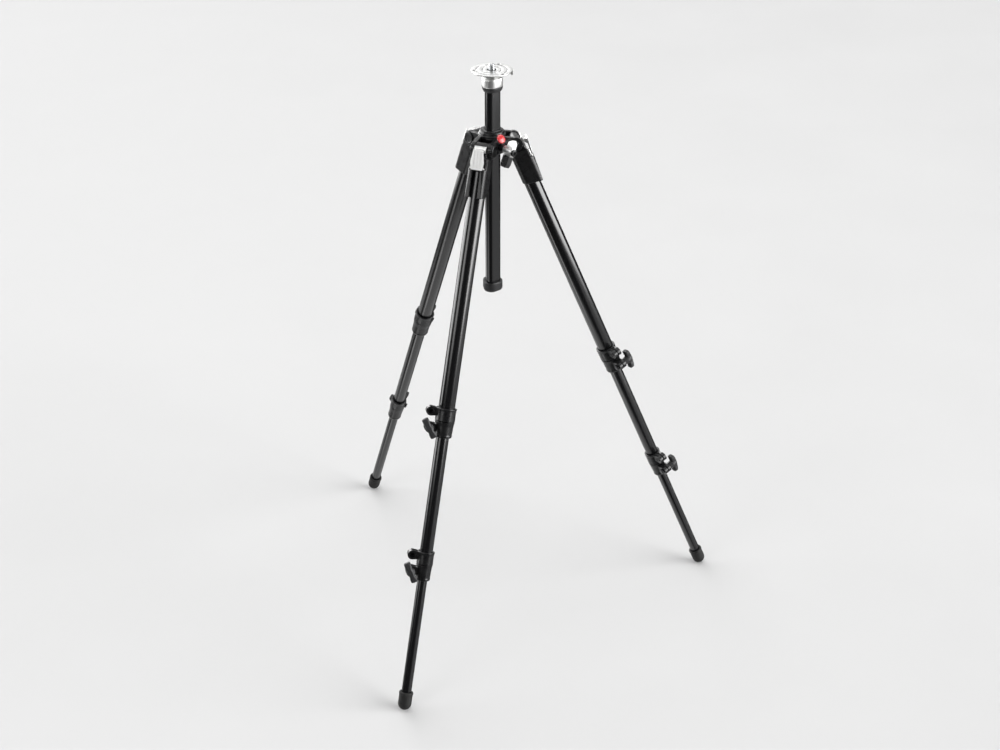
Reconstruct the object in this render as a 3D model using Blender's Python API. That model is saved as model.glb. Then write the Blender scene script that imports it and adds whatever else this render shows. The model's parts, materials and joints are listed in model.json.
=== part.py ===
"""Three-section camera tripod: hub, sliding centre column with a bare head plate, three legs.

The column axis is vertical. Each leg hangs from its own pin in the hub and telescopes in three sections.
Metres, +Z up. The origin is on the ground, at the middle of the tripod's bounding box.
"""
from math import cos, pi, radians, sin

import bmesh
import bpy
from mathutils import Matrix, Vector

# Stance
LEG_TILT = radians(22.6)
LEG_AZIMUTHS = {"front": radians(-90.0), "right": radians(30.0), "left": radians(150.0)}
PIVOT_RADIUS = 0.0333
PIVOT_HEIGHT = 0.7989
COLUMN_Y = 0.0915
GAP = 0.0003
# How far a cutter runs past what it cuts
THROUGH = 0.0200

# Facets round a turned piece
ROUND = 24
COLLAR_ROUND = 18
SMALL_ROUND = 10

# Leg tubes, measured down the leg from its pin
UPPER_RADIUS = 0.0125
MIDDLE_RADIUS = 0.0100
LOWER_RADIUS = 0.00775
TUBE_WALL = 0.0012
UPPER_TOP = 0.0325
UPPER_END = 0.4110
MIDDLE_TOP = 0.2730
MIDDLE_END = 0.6330
LOWER_TOP = 0.5130
LOWER_END = 0.8580
UPPER_COLLAR_TOP = 0.3882
LOWER_COLLAR_TOP = 0.6115
FOOT_TOP = 0.8352
FOOT_TIP = 0.8644
FOOT_RADIUS = 0.0105
GUIDE_LENGTH = 0.030

# Leg castings
KNUCKLE_RADIUS = 0.0100
KNUCKLE_HALF = 0.0102
PIN_RADIUS = 0.0030
PIN_HOLE = PIN_RADIUS + GAP
CASTING_HALF = 0.0146
CASTING_INNER = -0.0140
CASTING_OUTER = 0.0187
CASTING_CORNER = 0.0085
CASTING_END = -0.0720
SHOULDER = -0.0135
EAR_TOP = -0.0265
TAB_FLOOR = -0.0318
CORE_FACE = 0.0130
CHANNEL_HALF = 0.0063

# Angle tab, hinged low on the casting
TAB_AXIS = (0.0151, -0.0285)
TAB_HALF_WIDTHS = ((-0.0310, 0.0090), (-0.0210, 0.0108), (-0.0010, 0.0076))
TAB_THICKNESS = 0.0018
TAB_BACK_LOW = 0.0155
TAB_BACK_HIGH = 0.0186
TAB_TRUNNION = 0.0012
TAB_TRUNNION_HALF = 0.0121
TAB_BARREL_HALF = 0.0108
SADDLE_RADII = (0.0115, 0.0134)
SADDLE_HALF = 0.0092
SADDLE_SPAN = (-24.0, 19.0)

# Collars that clamp one tube to the next
COLLAR_LENGTH = 0.0450
COLLAR_TURN = radians(-62.0)
COLLAR_STEP = -0.0232
COLLAR_SLIT = 0.0006
HEAD_SINK = 0.0026
HEAD_RADIUS = 0.0042
HEAD_HOLE = HEAD_RADIUS + 0.0004
EAR_REACH = 0.0110
EAR_RADIUS = 0.0072
EAR_HALF = 0.0065
UPPER_EAR_Z = -0.0065
LOWER_EAR_Z = -0.0310
BOLT_RADIUS = 0.0025
BOLT_HOLE = BOLT_RADIUS + GAP
KNOB_TURNS = {"front": (radians(34.0), radians(30.0)),
              "right": (radians(4.0), radians(8.0)),
              "left": (radians(-20.0), radians(-35.0))}
KNOB_HALF = 0.0165
KNOB_THICKNESS_HALF = 0.0052
KNOB_INNER = 0.0130
KNOB_OUTER = 0.0232

# Hub, heights from the leg pins
LUG_RADIUS = 0.0110
LUG_INNER = 0.0105
LUG_OUTER = 0.0166
LUG_ROOT = 0.0080
HUB_TOP = 0.0190
HUB_BOTTOM = -0.0160
LUG_SHOULDER = 0.0122
# Notches of the leg angles round a lug, in degrees, and how far they trail the leg
STOP_ANGLES = (0.0, 22.6, 46.0, 66.0)
STOP_LAG = 32.0
NOTCH_HALF = 3.0
NOTCH_DEPTH = 0.0010
LOCK_AZIMUTH = radians(-30.0)
LOCK_Z = -0.0020
LOCK_REACH = 0.0410
LOCK_TURN = radians(-22.0)
BADGE_RADIUS = 0.0070
BADGE_WALL = 0.0013
BADGE_TILT = radians(38.0)
BADGE_CENTRE = (0.0205, 0.0098)
LOCK_BOLT_RADIUS = 0.0030
LOCK_BOLT_HOLE = LOCK_BOLT_RADIUS + GAP
BORE_MARGIN = 0.0024
BUSHING_WALL = 0.0021
BUSHING_FLANGE = 0.0032
BUSHING_TOP = 0.0018

# Column, heights from the leg pins: a rounded triangle is (distance to a corner's centre, corner radius)
COLUMN_SECTION = (0.00556, 0.0071)
COLUMN_WALL = 0.0016
COLUMN_TOP = 0.0993
COLUMN_END = -0.2380
CAP_TOP = -0.2277
CAP_END = -0.2430
CAP_SECTION = (0.0040, 0.0120)
TOP_SECTION = (0.0035, 0.0128)
RING_LOW = 0.0800
RING_TOP = 0.0871
COLLAR_LOW = 0.0874
COLLAR_TOP = 0.1010
PLATE_LOW = 0.1090
PLATE_TOP = 0.1116
PLATE_RADIUS = 0.0300
STUD_TOP = 0.1200
STUD_RADIUS = 0.00476
STUD_FOOT = 0.0934
PLATE_GROOVES = (0.0228, 0.0138)
GROOVE_DEPTH = 0.0006
GROOVE_HALF = 0.0005
SET_SCREW_REACH = 0.0263
SET_SCREW_RADIUS = 0.0018

MATERIALS = {
    "black_tube": ((0.018, 0.018, 0.020), 0.30, 0.85),
    "black_casting": ((0.030, 0.030, 0.032), 0.45, 0.60),
    "satin_aluminium": ((0.62, 0.62, 0.61), 0.32, 1.00),
    "steel": ((0.38, 0.39, 0.40), 0.30, 1.00),
    "black_plastic": ((0.022, 0.022, 0.023), 0.55, 0.00),
    "rubber": ((0.012, 0.012, 0.012), 0.80, 0.00),
    "red_plastic": ((0.55, 0.010, 0.012), 0.35, 0.00),
}


def clear_scene():
    for obj in list(bpy.data.objects):
        bpy.data.objects.remove(obj)


def make_materials():
    made = {}
    for name, (colour, roughness, metallic) in MATERIALS.items():
        material = bpy.data.materials.new(name)
        material.use_nodes = True
        shader = material.node_tree.nodes["Principled BSDF"]
        shader.inputs["Base Color"].default_value = (*colour, 1.0)
        shader.inputs["Roughness"].default_value = roughness
        shader.inputs["Metallic"].default_value = metallic
        made[name] = material
    return made


# Basic solids. Each returns a working object that is joined, cut and then placed.

def solid(bm):
    bmesh.ops.recalc_face_normals(bm, faces=bm.faces)
    mesh = bpy.data.meshes.new("solid")
    bm.to_mesh(mesh)
    bm.free()
    obj = bpy.data.objects.new("solid", mesh)
    bpy.context.collection.objects.link(obj)
    return obj


def bridge(bm, first, second):
    """Faces between two rings of points; a ring of one point is a pole."""
    count = max(len(first), len(second))
    for i in range(count):
        j = (i + 1) % count
        corners = [first[i % len(first)], first[j % len(first)],
                   second[j % len(second)], second[i % len(second)]]
        corners = list(dict.fromkeys(corners))
        if len(corners) > 2:
            bm.faces.new(corners)


def loft(rings, closed=False):
    """Body through rings of points. A closed loft joins the last ring to the first, as in a tube."""
    bm = bmesh.new()
    made = [[bm.verts.new(point) for point in ring] for ring in rings]
    for first, second in zip(made, made[1:]):
        bridge(bm, first, second)
    if closed:
        bridge(bm, made[-1], made[0])
    else:
        for ring in (made[0], made[-1]):
            if len(ring) > 2:
                bm.faces.new(ring)
    return solid(bm)


def circle(radius, height, steps):
    if radius == 0:
        return [(0.0, 0.0, height)]
    angles = [2 * pi * i / steps for i in range(steps)]
    return [(radius * cos(a), radius * sin(a), height) for a in angles]


def turned(profile, steps=ROUND, closed=False):
    """Body turned about Z from (radius, height) points."""
    return loft([circle(radius, height, steps) for radius, height in profile], closed)


def pipe(outer, inner, low, high, steps=ROUND):
    return turned([(outer, low), (outer, high), (inner, high), (inner, low)], steps, closed=True)


def rod(radius, low, high, steps=SMALL_ROUND):
    return turned([(radius, low), (radius, high)], steps)


def prism(outline, low, high, across="z"):
    """Outline extruded along one axis; the outline is given in the other two, in alphabetical order."""
    position = "xyz".index(across)
    rings = [[(*point[:position], height, *point[position:]) for point in outline] for height in (low, high)]
    return loft(rings)


def box(low, high):
    outline = [(low[0], low[1]), (high[0], low[1]), (high[0], high[1]), (low[0], high[1])]
    return prism(outline, low[2], high[2])


def arc(centre, radius, start, end, steps):
    """Points of an arc, both ends included, angles in degrees."""
    angles = [radians(start + (end - start) * i / steps) for i in range(steps + 1)]
    return [(centre[0] + radius * cos(a), centre[1] + radius * sin(a)) for a in angles]


def triangle(section, height, steps=5):
    """Rounded triangle with one corner toward each leg, as a ring of points."""
    reach, radius = section
    points = []
    for azimuth in LEG_AZIMUTHS.values():
        for i in range(steps + 1):
            a = azimuth - pi / 3 + 2 * pi / 3 * i / steps
            x = reach * cos(azimuth) + radius * cos(a)
            y = reach * sin(azimuth) + radius * sin(a)
            points.append((x, y, height))
    return points


def grown(section, amount):
    return section[0], section[1] + amount


# Boolean steps and placing

def combine(operation, target, others):
    for other in others:
        modifier = target.modifiers.new("combine", "BOOLEAN")
        modifier.operation = operation
        modifier.solver = "EXACT"
        modifier.object = other
    evaluated = target.evaluated_get(bpy.context.evaluated_depsgraph_get())
    mesh = bpy.data.meshes.new_from_object(evaluated)
    target.modifiers.clear()
    target.data = mesh
    for other in others:
        bpy.data.objects.remove(other)
    return target


def joined(target, *others):
    return combine("UNION", target, others)


def cut(target, *others):
    return combine("DIFFERENCE", target, others)


def common(target, other):
    return combine("INTERSECT", target, [other])


def moved(obj, matrix):
    obj.data.transform(matrix)
    return obj


def shifted(obj, x=0.0, y=0.0, z=0.0):
    return moved(obj, Matrix.Translation((x, y, z)))


def along(obj, axis):
    """Turn a body made along Z so that it lies along X or Y."""
    turn = Matrix.Rotation(pi / 2, 4, "Y") if axis == "x" else Matrix.Rotation(-pi / 2, 4, "X")
    return moved(obj, turn)


def bevelled(obj, width, segments=2):
    modifier = obj.modifiers.new("bevel", "BEVEL")
    modifier.width = width
    modifier.segments = segments
    modifier.limit_method = "ANGLE"
    modifier.angle_limit = radians(30)
    evaluated = obj.evaluated_get(bpy.context.evaluated_depsgraph_get())
    mesh = bpy.data.meshes.new_from_object(evaluated)
    obj.modifiers.clear()
    obj.data = mesh
    return obj


def taken(obj):
    """Mesh of a finished working object, cleaned and shaded, with the working object removed."""
    mesh = obj.data
    bm = bmesh.new()
    bm.from_mesh(mesh)
    bmesh.ops.remove_doubles(bm, verts=bm.verts, dist=0.00002)
    bmesh.ops.dissolve_degenerate(bm, edges=bm.edges, dist=0.00001)
    bm.to_mesh(mesh)
    bm.free()
    mesh.shade_smooth()
    mesh.set_sharp_from_angle(angle=radians(32))
    bpy.data.objects.remove(obj)
    return mesh


def node(name, mesh, material, parent):
    own = mesh.copy() if mesh.users else mesh
    own.name = name
    own.materials.clear()
    own.materials.append(material)
    obj = bpy.data.objects.new(name, own)
    obj.parent = parent
    bpy.context.collection.objects.link(obj)
    return obj


def joint(name, matrix, parent=None):
    """Empty on a joint's axis; the pieces that move together are its children."""
    empty = bpy.data.objects.new(name + "_joint", None)
    empty.parent = parent
    empty.matrix_local = matrix
    bpy.context.collection.objects.link(empty)
    return empty


# Hub

def hub_mesh():
    body = [(0.0, HUB_BOTTOM), (0.0150, HUB_BOTTOM), (0.0184, -0.0140), (0.0188, -0.0050), (0.0188, 0.0100)]
    lips = [(0.0204, 0.0120), (0.0204, 0.0142), (0.0188, 0.0152), (0.0188, 0.0172), (0.0176, HUB_TOP)]
    profile = body + lips + [(0.0, HUB_TOP)]
    hub = turned(profile)
    lugs = []
    holes = []
    for azimuth in LEG_AZIMUTHS.values():
        turn = Matrix.Rotation(azimuth, 4, "Z")
        for side in (-1, 1):
            faces = sorted((side * LUG_INNER, side * LUG_OUTER))
            lugs.append(moved(prism(lug_outline(), *faces, across="y"), turn))
        hole = along(rod(PIN_HOLE, -THROUGH, THROUGH), "y")
        holes.append(moved(shifted(hole, x=PIVOT_RADIUS), turn))
    toward_lock = Matrix.Rotation(LOCK_AZIMUTH, 4, "Z")
    lock_boss = moved(shifted(along(rod(0.0062, 0.0140, 0.0310, 14), "x"), z=LOCK_Z), toward_lock)
    boss_rim = BADGE_RADIUS + BADGE_WALL
    boss_profile = [(boss_rim - 0.0005, -0.0110), (boss_rim, 0.0010), (boss_rim - 0.0005, 0.0018)]
    badge_boss = moved(turned(boss_profile, 20), badge_matrix())
    hub = joined(hub, *lugs, lock_boss, badge_boss)
    badge_seat = moved(rod(BADGE_RADIUS + GAP, 0.0, 0.0100, 20), badge_matrix())
    bolt_hole = moved(shifted(along(rod(LOCK_BOLT_HOLE, 0.0100, 0.0400), "x"), z=LOCK_Z), toward_lock)
    bore_section = grown(COLUMN_SECTION, BORE_MARGIN)
    bore = loft([triangle(bore_section, HUB_BOTTOM - THROUGH), triangle(bore_section, HUB_TOP + THROUGH)])
    return taken(cut(hub, bore, *holes, badge_seat, bolt_hole))


def lug_outline():
    """Side view of a lug: an arm out to the pin with a round end, notched at each leg angle."""
    rim = []
    edge = -90.0
    for stop in STOP_ANGLES:
        start = stop - STOP_LAG - NOTCH_HALF
        end = stop - STOP_LAG + NOTCH_HALF
        rim += arc((PIVOT_RADIUS, 0.0), LUG_RADIUS, edge, start, 1)
        rim += arc((PIVOT_RADIUS, 0.0), LUG_RADIUS - NOTCH_DEPTH, start, end, 1)
        edge = end
    rim += arc((PIVOT_RADIUS, 0.0), LUG_RADIUS, edge, 105.0, 4)
    return rim + [(0.0190, LUG_SHOULDER), (LUG_ROOT, LUG_SHOULDER), (LUG_ROOT, -LUG_RADIUS)]


def badge_matrix():
    """Frame of the badge: Z points out of the hub, up and away from the column."""
    reach, height = BADGE_CENTRE
    place = Matrix.Rotation(LOCK_AZIMUTH, 4, "Z") @ Matrix.Translation((reach, 0.0, height))
    return place @ Matrix.Rotation(pi / 2 - BADGE_TILT, 4, "Y")


def badge_mesh():
    profile = [(0.0, 0.0003), (BADGE_RADIUS, 0.0003), (BADGE_RADIUS, 0.0022), (0.0061, 0.0030), (0.0, 0.0034)]
    return taken(moved(turned(profile, 20), badge_matrix()))


def bushing_mesh():
    inner = grown(COLUMN_SECTION, GAP)
    outer = grown(COLUMN_SECTION, BUSHING_WALL)
    flange = grown(COLUMN_SECTION, BUSHING_FLANGE)
    rest = HUB_TOP + GAP
    top = HUB_TOP + BUSHING_TOP
    wall = [(inner, HUB_BOTTOM), (outer, HUB_BOTTOM), (outer, rest)]
    profile = wall + [(flange, rest), (flange, top), (inner, top)]
    return taken(loft([triangle(section, height) for section, height in profile], closed=True))


def pivot_pin_mesh():
    """Pin through both lugs and the knuckle, with a broad flat cap and, on the other end, a small nut."""
    seat = LUG_OUTER + GAP
    nut = [(0.0, -seat - 0.0026), (0.0042, -seat - 0.0026), (0.0048, -seat - 0.0020), (0.0048, -seat)]
    cap = [(0.0096, seat), (0.0098, seat + 0.0012), (0.0092, seat + 0.0018), (0.0, seat + 0.0018)]
    profile = nut + [(PIN_RADIUS, -seat), (PIN_RADIUS, seat)] + cap
    return taken(along(turned(profile, 16), "y"))


def lock_bolt_mesh():
    """Clamp bolt of the column, along X from the column outward; its head holds the lever on."""
    start = 0.0152
    seat = LOCK_REACH + 0.0102
    shank = [(0.0, start), (LOCK_BOLT_RADIUS, start), (LOCK_BOLT_RADIUS, seat)]
    profile = shank + [(0.0052, seat), (0.0052, seat + 0.0023), (0.0, seat + 0.0028)]
    return taken(shifted(along(turned(profile, 16), "x"), z=LOCK_Z))


def lock_lever_mesh():
    """Cast lever in the plane of its bolt: short upper wing, tang below for the grip."""
    outline = [(-0.0045, -0.0070), (-0.0060, 0.0020), (-0.0030, 0.0130), (0.0050, 0.0175), (0.0090, 0.0130),
               (0.0098, 0.0), (0.0090, -0.0070)]
    wing = bevelled(prism(outline, -0.0034, 0.0034, across="y"), 0.0012)
    boss = along(rod(0.0058, -0.0092, 0.0098, 20), "x")
    tang = box((-0.0010, -0.0016, -0.0185), (0.0050, 0.0016, -0.0060))
    lever = joined(wing, boss, tang)
    return taken(cut(lever, along(rod(LOCK_BOLT_HOLE, -THROUGH, THROUGH), "x")))


def lock_grip_mesh():
    outline = [(-0.0052, -0.0074), (-0.0058, -0.0195), (-0.0038, -0.0243), (0.0056, -0.0243),
               (0.0080, -0.0195), (0.0086, -0.0074)]
    grip = bevelled(prism(outline, -0.0045, 0.0045, across="y"), 0.0014)
    pocket = box((-0.0013, -0.0019, -0.0188), (0.0053, 0.0019, -0.0060))
    return taken(cut(grip, pocket))


# Column

def column_tube_mesh():
    inner = grown(COLUMN_SECTION, -COLUMN_WALL)
    rings = [triangle(COLUMN_SECTION, COLUMN_END), triangle(COLUMN_SECTION, COLUMN_TOP),
             triangle(inner, COLUMN_TOP), triangle(inner, COLUMN_END)]
    return taken(loft(rings, closed=True))


def top_ring_mesh():
    bore = grown(COLUMN_SECTION, GAP)
    profile = [(bore, RING_LOW), ((0.0046, 0.0098), RING_LOW),
               (grown(TOP_SECTION, -0.0003), RING_LOW + 0.0035), (TOP_SECTION, RING_TOP), (bore, RING_TOP)]
    return taken(loft([triangle(section, height) for section, height in profile], closed=True))


def top_collar_mesh():
    body = loft([triangle(TOP_SECTION, COLLAR_LOW), triangle(TOP_SECTION, COLLAR_TOP - 0.0015),
                 triangle((0.0030, 0.0115), COLLAR_TOP)])
    bore = grown(COLUMN_SECTION, GAP)
    socket = loft([triangle(bore, COLLAR_LOW - THROUGH), triangle(bore, COLUMN_TOP + GAP)])
    return taken(cut(body, socket, rod(STUD_RADIUS + GAP, COLLAR_LOW, COLLAR_TOP + THROUGH, 16)))


def head_plate_mesh():
    """Round plate with two turned grooves, a neck, three set-screw holes and a down-turned tab."""
    bore = STUD_RADIUS + GAP
    low = COLLAR_TOP + GAP
    neck = [(bore, low), (0.0112, low), (0.0118, low + 0.0045), (0.0145, PLATE_LOW)]
    rim = [(PLATE_RADIUS - 0.0010, PLATE_LOW), (PLATE_RADIUS, PLATE_LOW + 0.0008),
           (PLATE_RADIUS, PLATE_TOP - 0.0006), (PLATE_RADIUS - 0.0006, PLATE_TOP)]
    face = []
    for groove in PLATE_GROOVES:
        bottom = (groove, PLATE_TOP - GROOVE_DEPTH)
        face += [(groove + GROOVE_HALF, PLATE_TOP), bottom, (groove - GROOVE_HALF, PLATE_TOP)]
    sink = PLATE_TOP - 0.0008
    centre = [(0.0072, PLATE_TOP), (0.0066, sink), (bore, sink)]
    plate = turned(neck + rim + face + centre, 28, closed=True)
    tab = box((PLATE_RADIUS - 0.0020, -0.0038, PLATE_LOW - 0.0062), (PLATE_RADIUS + 0.0006, 0.0038, sink))
    plate = joined(plate, moved(bevelled(tab, 0.0005, 1), Matrix.Rotation(LEG_AZIMUTHS["right"], 4, "Z")))
    holes = []
    for azimuth in LEG_AZIMUTHS.values():
        place = Matrix.Rotation(azimuth + pi / 3, 4, "Z") @ Matrix.Translation((SET_SCREW_REACH, 0.0, 0.0))
        holes.append(moved(rod(SET_SCREW_RADIUS, PLATE_LOW - THROUGH, PLATE_TOP + THROUGH, 8), place))
    return taken(cut(plate, *holes))


def stud_mesh():
    profile = [(0.0, STUD_FOOT), (0.0042, STUD_FOOT), (STUD_RADIUS, STUD_FOOT + 0.0010),
               (STUD_RADIUS, STUD_TOP - 0.0010), (0.0040, STUD_TOP), (0.0, STUD_TOP)]
    slot = box((-0.010, -0.0007, STUD_TOP - 0.0020), (0.010, 0.0007, STUD_TOP + THROUGH))
    return taken(cut(turned(profile, 16), moved(slot, Matrix.Rotation(radians(-68), 4, "Z"))))


def bottom_cap_mesh():
    profile = [(-0.0004, CAP_TOP), (0.0, CAP_TOP - 0.0008), (0.0, CAP_END + 0.0035),
               (-0.0010, CAP_END + 0.0010), (-0.0028, CAP_END)]
    body = loft([triangle(grown(CAP_SECTION, amount), height) for amount, height in profile])
    pocket = grown(COLUMN_SECTION, GAP)
    return taken(cut(body, loft([triangle(pocket, COLUMN_END - GAP), triangle(pocket, CAP_TOP + THROUGH)])))


# Leg casting and angle tab, in the leg's frame: X outward, Y along the pin, Z up the leg

def leg_casting_mesh():
    side_view = [(-0.0115, SHOULDER), (0.0118, SHOULDER), (CORE_FACE, SHOULDER - 0.0012),
                 (CORE_FACE, EAR_TOP), (CASTING_OUTER - 0.0012, EAR_TOP), (CASTING_OUTER, EAR_TOP - 0.0012),
                 (0.0162, CASTING_END), (CASTING_INNER, CASTING_END + 0.0060), (CASTING_INNER, SHOULDER - 0.0040)]
    body = prism(side_view, -CASTING_HALF - THROUGH, CASTING_HALF + THROUGH, across="y")
    body = common(body, prism(casting_section(), CASTING_END - THROUGH, 0.0))
    knuckle = along(rod(KNUCKLE_RADIUS, -KNUCKLE_HALF, KNUCKLE_HALF, 20), "y")
    neck_low = SHOULDER - 0.0010
    neck_outline = [(-0.0096, -0.0026), (0.0096, -0.0026), (0.0112, neck_low), (-0.0112, neck_low)]
    neck = prism(neck_outline, -KNUCKLE_HALF, KNUCKLE_HALF, across="y")
    body = joined(body, knuckle, neck)
    low = CASTING_END - THROUGH
    outside = CASTING_OUTER + THROUGH
    tube_bore = rod(UPPER_RADIUS + GAP, low, -UPPER_TOP + GAP, ROUND)
    pin_hole = along(rod(PIN_HOLE, -THROUGH, THROUGH), "y")
    recess_half = TAB_BARREL_HALF + GAP
    tab_recess = box((CORE_FACE, -recess_half, TAB_FLOOR), (outside, recess_half, 0.0))
    trunnion_hole = along(rod(TAB_TRUNNION + GAP, -THROUGH, THROUGH, 12), "y")
    shifted(trunnion_hole, x=TAB_AXIS[0], z=TAB_AXIS[1])
    channel = box((0.0100, -CHANNEL_HALF, low), (outside, CHANNEL_HALF, -UPPER_TOP + GAP))
    return taken(cut(body, tube_bore, pin_hole, tab_recess, trunnion_hole, channel))


def casting_section():
    """Rounded rectangle across the leg casting."""
    middle_y = CASTING_HALF - CASTING_CORNER
    outer_x = CASTING_OUTER - CASTING_CORNER
    inner_x = CASTING_INNER + CASTING_CORNER
    corners = [(outer_x, middle_y), (inner_x, middle_y), (inner_x, -middle_y), (outer_x, -middle_y)]
    points = []
    for turn, corner in enumerate(corners):
        points += arc(corner, CASTING_CORNER, 90 * turn, 90 * turn + 90, 6)
    return points


def angle_tab_mesh():
    """Release tab, in its own frame with the origin on its trunnions."""
    outline = [(half, z) for z, half in TAB_HALF_WIDTHS]
    outline += [(-half, z) for half, z in reversed(outline)]
    plate = moved(prism(outline, 0.0, TAB_THICKNESS, across="x"), tab_lean())
    start, end = SADDLE_SPAN
    inside, outside = SADDLE_RADII
    saddle_outline = arc((0.0, 0.0), outside, start, end, 6) + arc((0.0, 0.0), inside, end, start, 6)
    saddle = prism(saddle_outline, -SADDLE_HALF, SADDLE_HALF, across="y")
    web_outline = [(0.0124, -0.0050), (0.0130, 0.0), (0.0194, -0.0040), (0.0184, -0.0125)]
    web = prism(web_outline, -0.0060, 0.0060, across="y")
    barrel = shifted(along(rod(0.0017, -TAB_BARREL_HALF, TAB_BARREL_HALF), "y"), x=TAB_AXIS[0], z=TAB_AXIS[1])
    trunnions = along(rod(TAB_TRUNNION, -TAB_TRUNNION_HALF, TAB_TRUNNION_HALF, 12), "y")
    tab = joined(plate, saddle, web, barrel, shifted(trunnions, x=TAB_AXIS[0], z=TAB_AXIS[1]))
    return taken(shifted(tab, x=-TAB_AXIS[0], z=-TAB_AXIS[1]))


def tab_lean():
    """Shear that leans the tab's plate outward from its foot to its top."""
    foot = TAB_HALF_WIDTHS[0][0]
    slope = (TAB_BACK_HIGH - TAB_BACK_LOW) / (TAB_HALF_WIDTHS[-1][0] - foot)
    lean = Matrix.Identity(4)
    lean[0][2] = slope
    lean[0][3] = TAB_BACK_LOW - slope * foot
    return lean


# Collars, in a frame with the ears toward +X, the bolts along Y and the collar's top at Z = 0

def collar_mesh(big, small):
    wide = big + 0.0027
    slim = small + 0.0031
    profile = [(wide + 0.0004, 0.0), (wide + 0.0004, -0.0020), (wide, -0.0040), (wide, -0.0190),
               (slim + 0.0010, -0.0270), (slim, -COLLAR_LENGTH)]
    collar = turned(profile, COLLAR_ROUND)
    reach = big + EAR_REACH
    upper_ear = prism(ear_outline(reach, UPPER_EAR_Z, big + 0.0010), -EAR_HALF, EAR_HALF, across="y")
    lower_ear = prism(ear_outline(reach, LOWER_EAR_Z, small + 0.0010), -EAR_HALF, EAR_HALF, across="y")
    collar = joined(collar, upper_ear, lower_ear)
    far = reach + EAR_RADIUS + THROUGH
    low = -COLLAR_LENGTH - THROUGH
    cutters = [
        box((0.0, -COLLAR_SLIT, low), (far, COLLAR_SLIT, THROUGH)),
        box((-0.0020, -far, -0.0200 - COLLAR_SLIT), (far, far, -0.0200 + COLLAR_SLIT)),
        rod(big + GAP, COLLAR_STEP, THROUGH, COLLAR_ROUND),
        rod(small + GAP, low, 0.0, COLLAR_ROUND),
        shifted(along(rod(BOLT_HOLE, -THROUGH, THROUGH, 8), "y"), x=reach, z=UPPER_EAR_Z),
        shifted(along(rod(BOLT_HOLE, -THROUGH, THROUGH, 8), "y"), x=reach, z=LOWER_EAR_Z),
        shifted(along(rod(HEAD_HOLE, EAR_HALF - HEAD_SINK, THROUGH, 12), "y"), x=reach, z=UPPER_EAR_Z),
    ]
    return taken(cut(collar, *cutters))


def ear_outline(reach, height, root):
    """Side view of a clamp ear with a round end, starting inside the collar wall."""
    half = 0.80 * EAR_RADIUS
    return arc((reach, height), EAR_RADIUS, -90, 90, 4) + [(root, height + half), (root, height - half)]


def clamp_screw_mesh(big):
    """Socket screw of the upper ears, head sunk in the ear on the +Y side."""
    seat = EAR_HALF - HEAD_SINK + GAP
    top = seat + 0.0024
    shank = [(0.0, -EAR_HALF), (BOLT_RADIUS, -EAR_HALF), (BOLT_RADIUS, seat)]
    head = [(HEAD_RADIUS, seat), (HEAD_RADIUS, top - 0.0004), (HEAD_RADIUS - 0.0004, top)]
    socket = [(0.0021, top), (0.0021, seat + 0.0008), (0.0, seat + 0.0008)]
    profile = shank + head + socket
    return taken(shifted(along(turned(profile, 12), "y"), x=big + EAR_REACH, z=UPPER_EAR_Z))


def knob_bolt_mesh(big):
    """Bolt of the lower ears, hexagon head on the -Y side, its thread in the knob."""
    head = turned([(0.0046, -EAR_HALF - GAP - 0.0034), (0.0046, -EAR_HALF - GAP)], 6)
    shank = rod(BOLT_RADIUS, -EAR_HALF - 0.0010, 0.0190)
    return taken(shifted(along(joined(head, shank), "y"), x=big + EAR_REACH, z=LOWER_EAR_Z))


def knob_mesh():
    """Wing knob about Y, its wings along Z; the origin is on its axis."""
    crown = 0.0135
    outer = [(KNOB_OUTER - 0.0030 * share * share, crown * share) for share in (1.0, 0.5, 0.0, -0.5, -1.0)]
    ends = [(KNOB_INNER, KNOB_HALF), (0.0180, KNOB_HALF)]
    outline = ends + outer + [(y, -z) for y, z in reversed(ends)]
    wing = bevelled(prism(outline, -KNOB_THICKNESS_HALF, KNOB_THICKNESS_HALF, across="x"), 0.0009, 1)
    neck_profile = [(0.0048, EAR_HALF + 0.0004), (0.0052, EAR_HALF + 0.0010), (0.0062, 0.0135)]
    neck = along(turned(neck_profile, 12), "y")
    bore = along(rod(BOLT_HOLE, 0.0, 0.0193), "y")
    return taken(cut(joined(wing, neck), bore))


# Tubes and feet

def tube_mesh(radius, top, end):
    return taken(pipe(radius, radius - TUBE_WALL, -end, -top))


def guide_mesh():
    low = -MIDDLE_TOP - GUIDE_LENGTH
    return taken(pipe(UPPER_RADIUS - TUBE_WALL - GAP, MIDDLE_RADIUS + GAP, low, -MIDDLE_TOP))


def foot_mesh():
    bore = LOWER_RADIUS + GAP
    top = -FOOT_TOP
    floor = -LOWER_END - GAP
    lip = FOOT_RADIUS + 0.0006
    dome = [(0.0, -FOOT_TIP)] + arc((0.0, -FOOT_TIP + FOOT_RADIUS), FOOT_RADIUS, -67.5, 0.0, 3)
    rim = [(FOOT_RADIUS, top - 0.0045), (lip, top - 0.0035), (lip, top - 0.0012), (FOOT_RADIUS - 0.0004, top)]
    socket = [(bore, top), (bore, floor), (0.0, floor)]
    return taken(turned(dome + rim + socket, 18))


# Assembly

def leg_matrix(azimuth):
    """Frame of a leg on its pin: X outward, Y along the pin, Z up the leg."""
    outward = Vector((cos(azimuth), sin(azimuth), 0.0))
    down = outward * sin(LEG_TILT) - Vector((0.0, 0.0, cos(LEG_TILT)))
    normal = outward * cos(LEG_TILT) + Vector((0.0, 0.0, sin(LEG_TILT)))
    pin = Vector((-sin(azimuth), cos(azimuth), 0.0))
    place = outward * PIVOT_RADIUS
    frame = Matrix((normal, pin, -down)).transposed().to_4x4()
    frame.translation = place
    return frame


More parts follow.
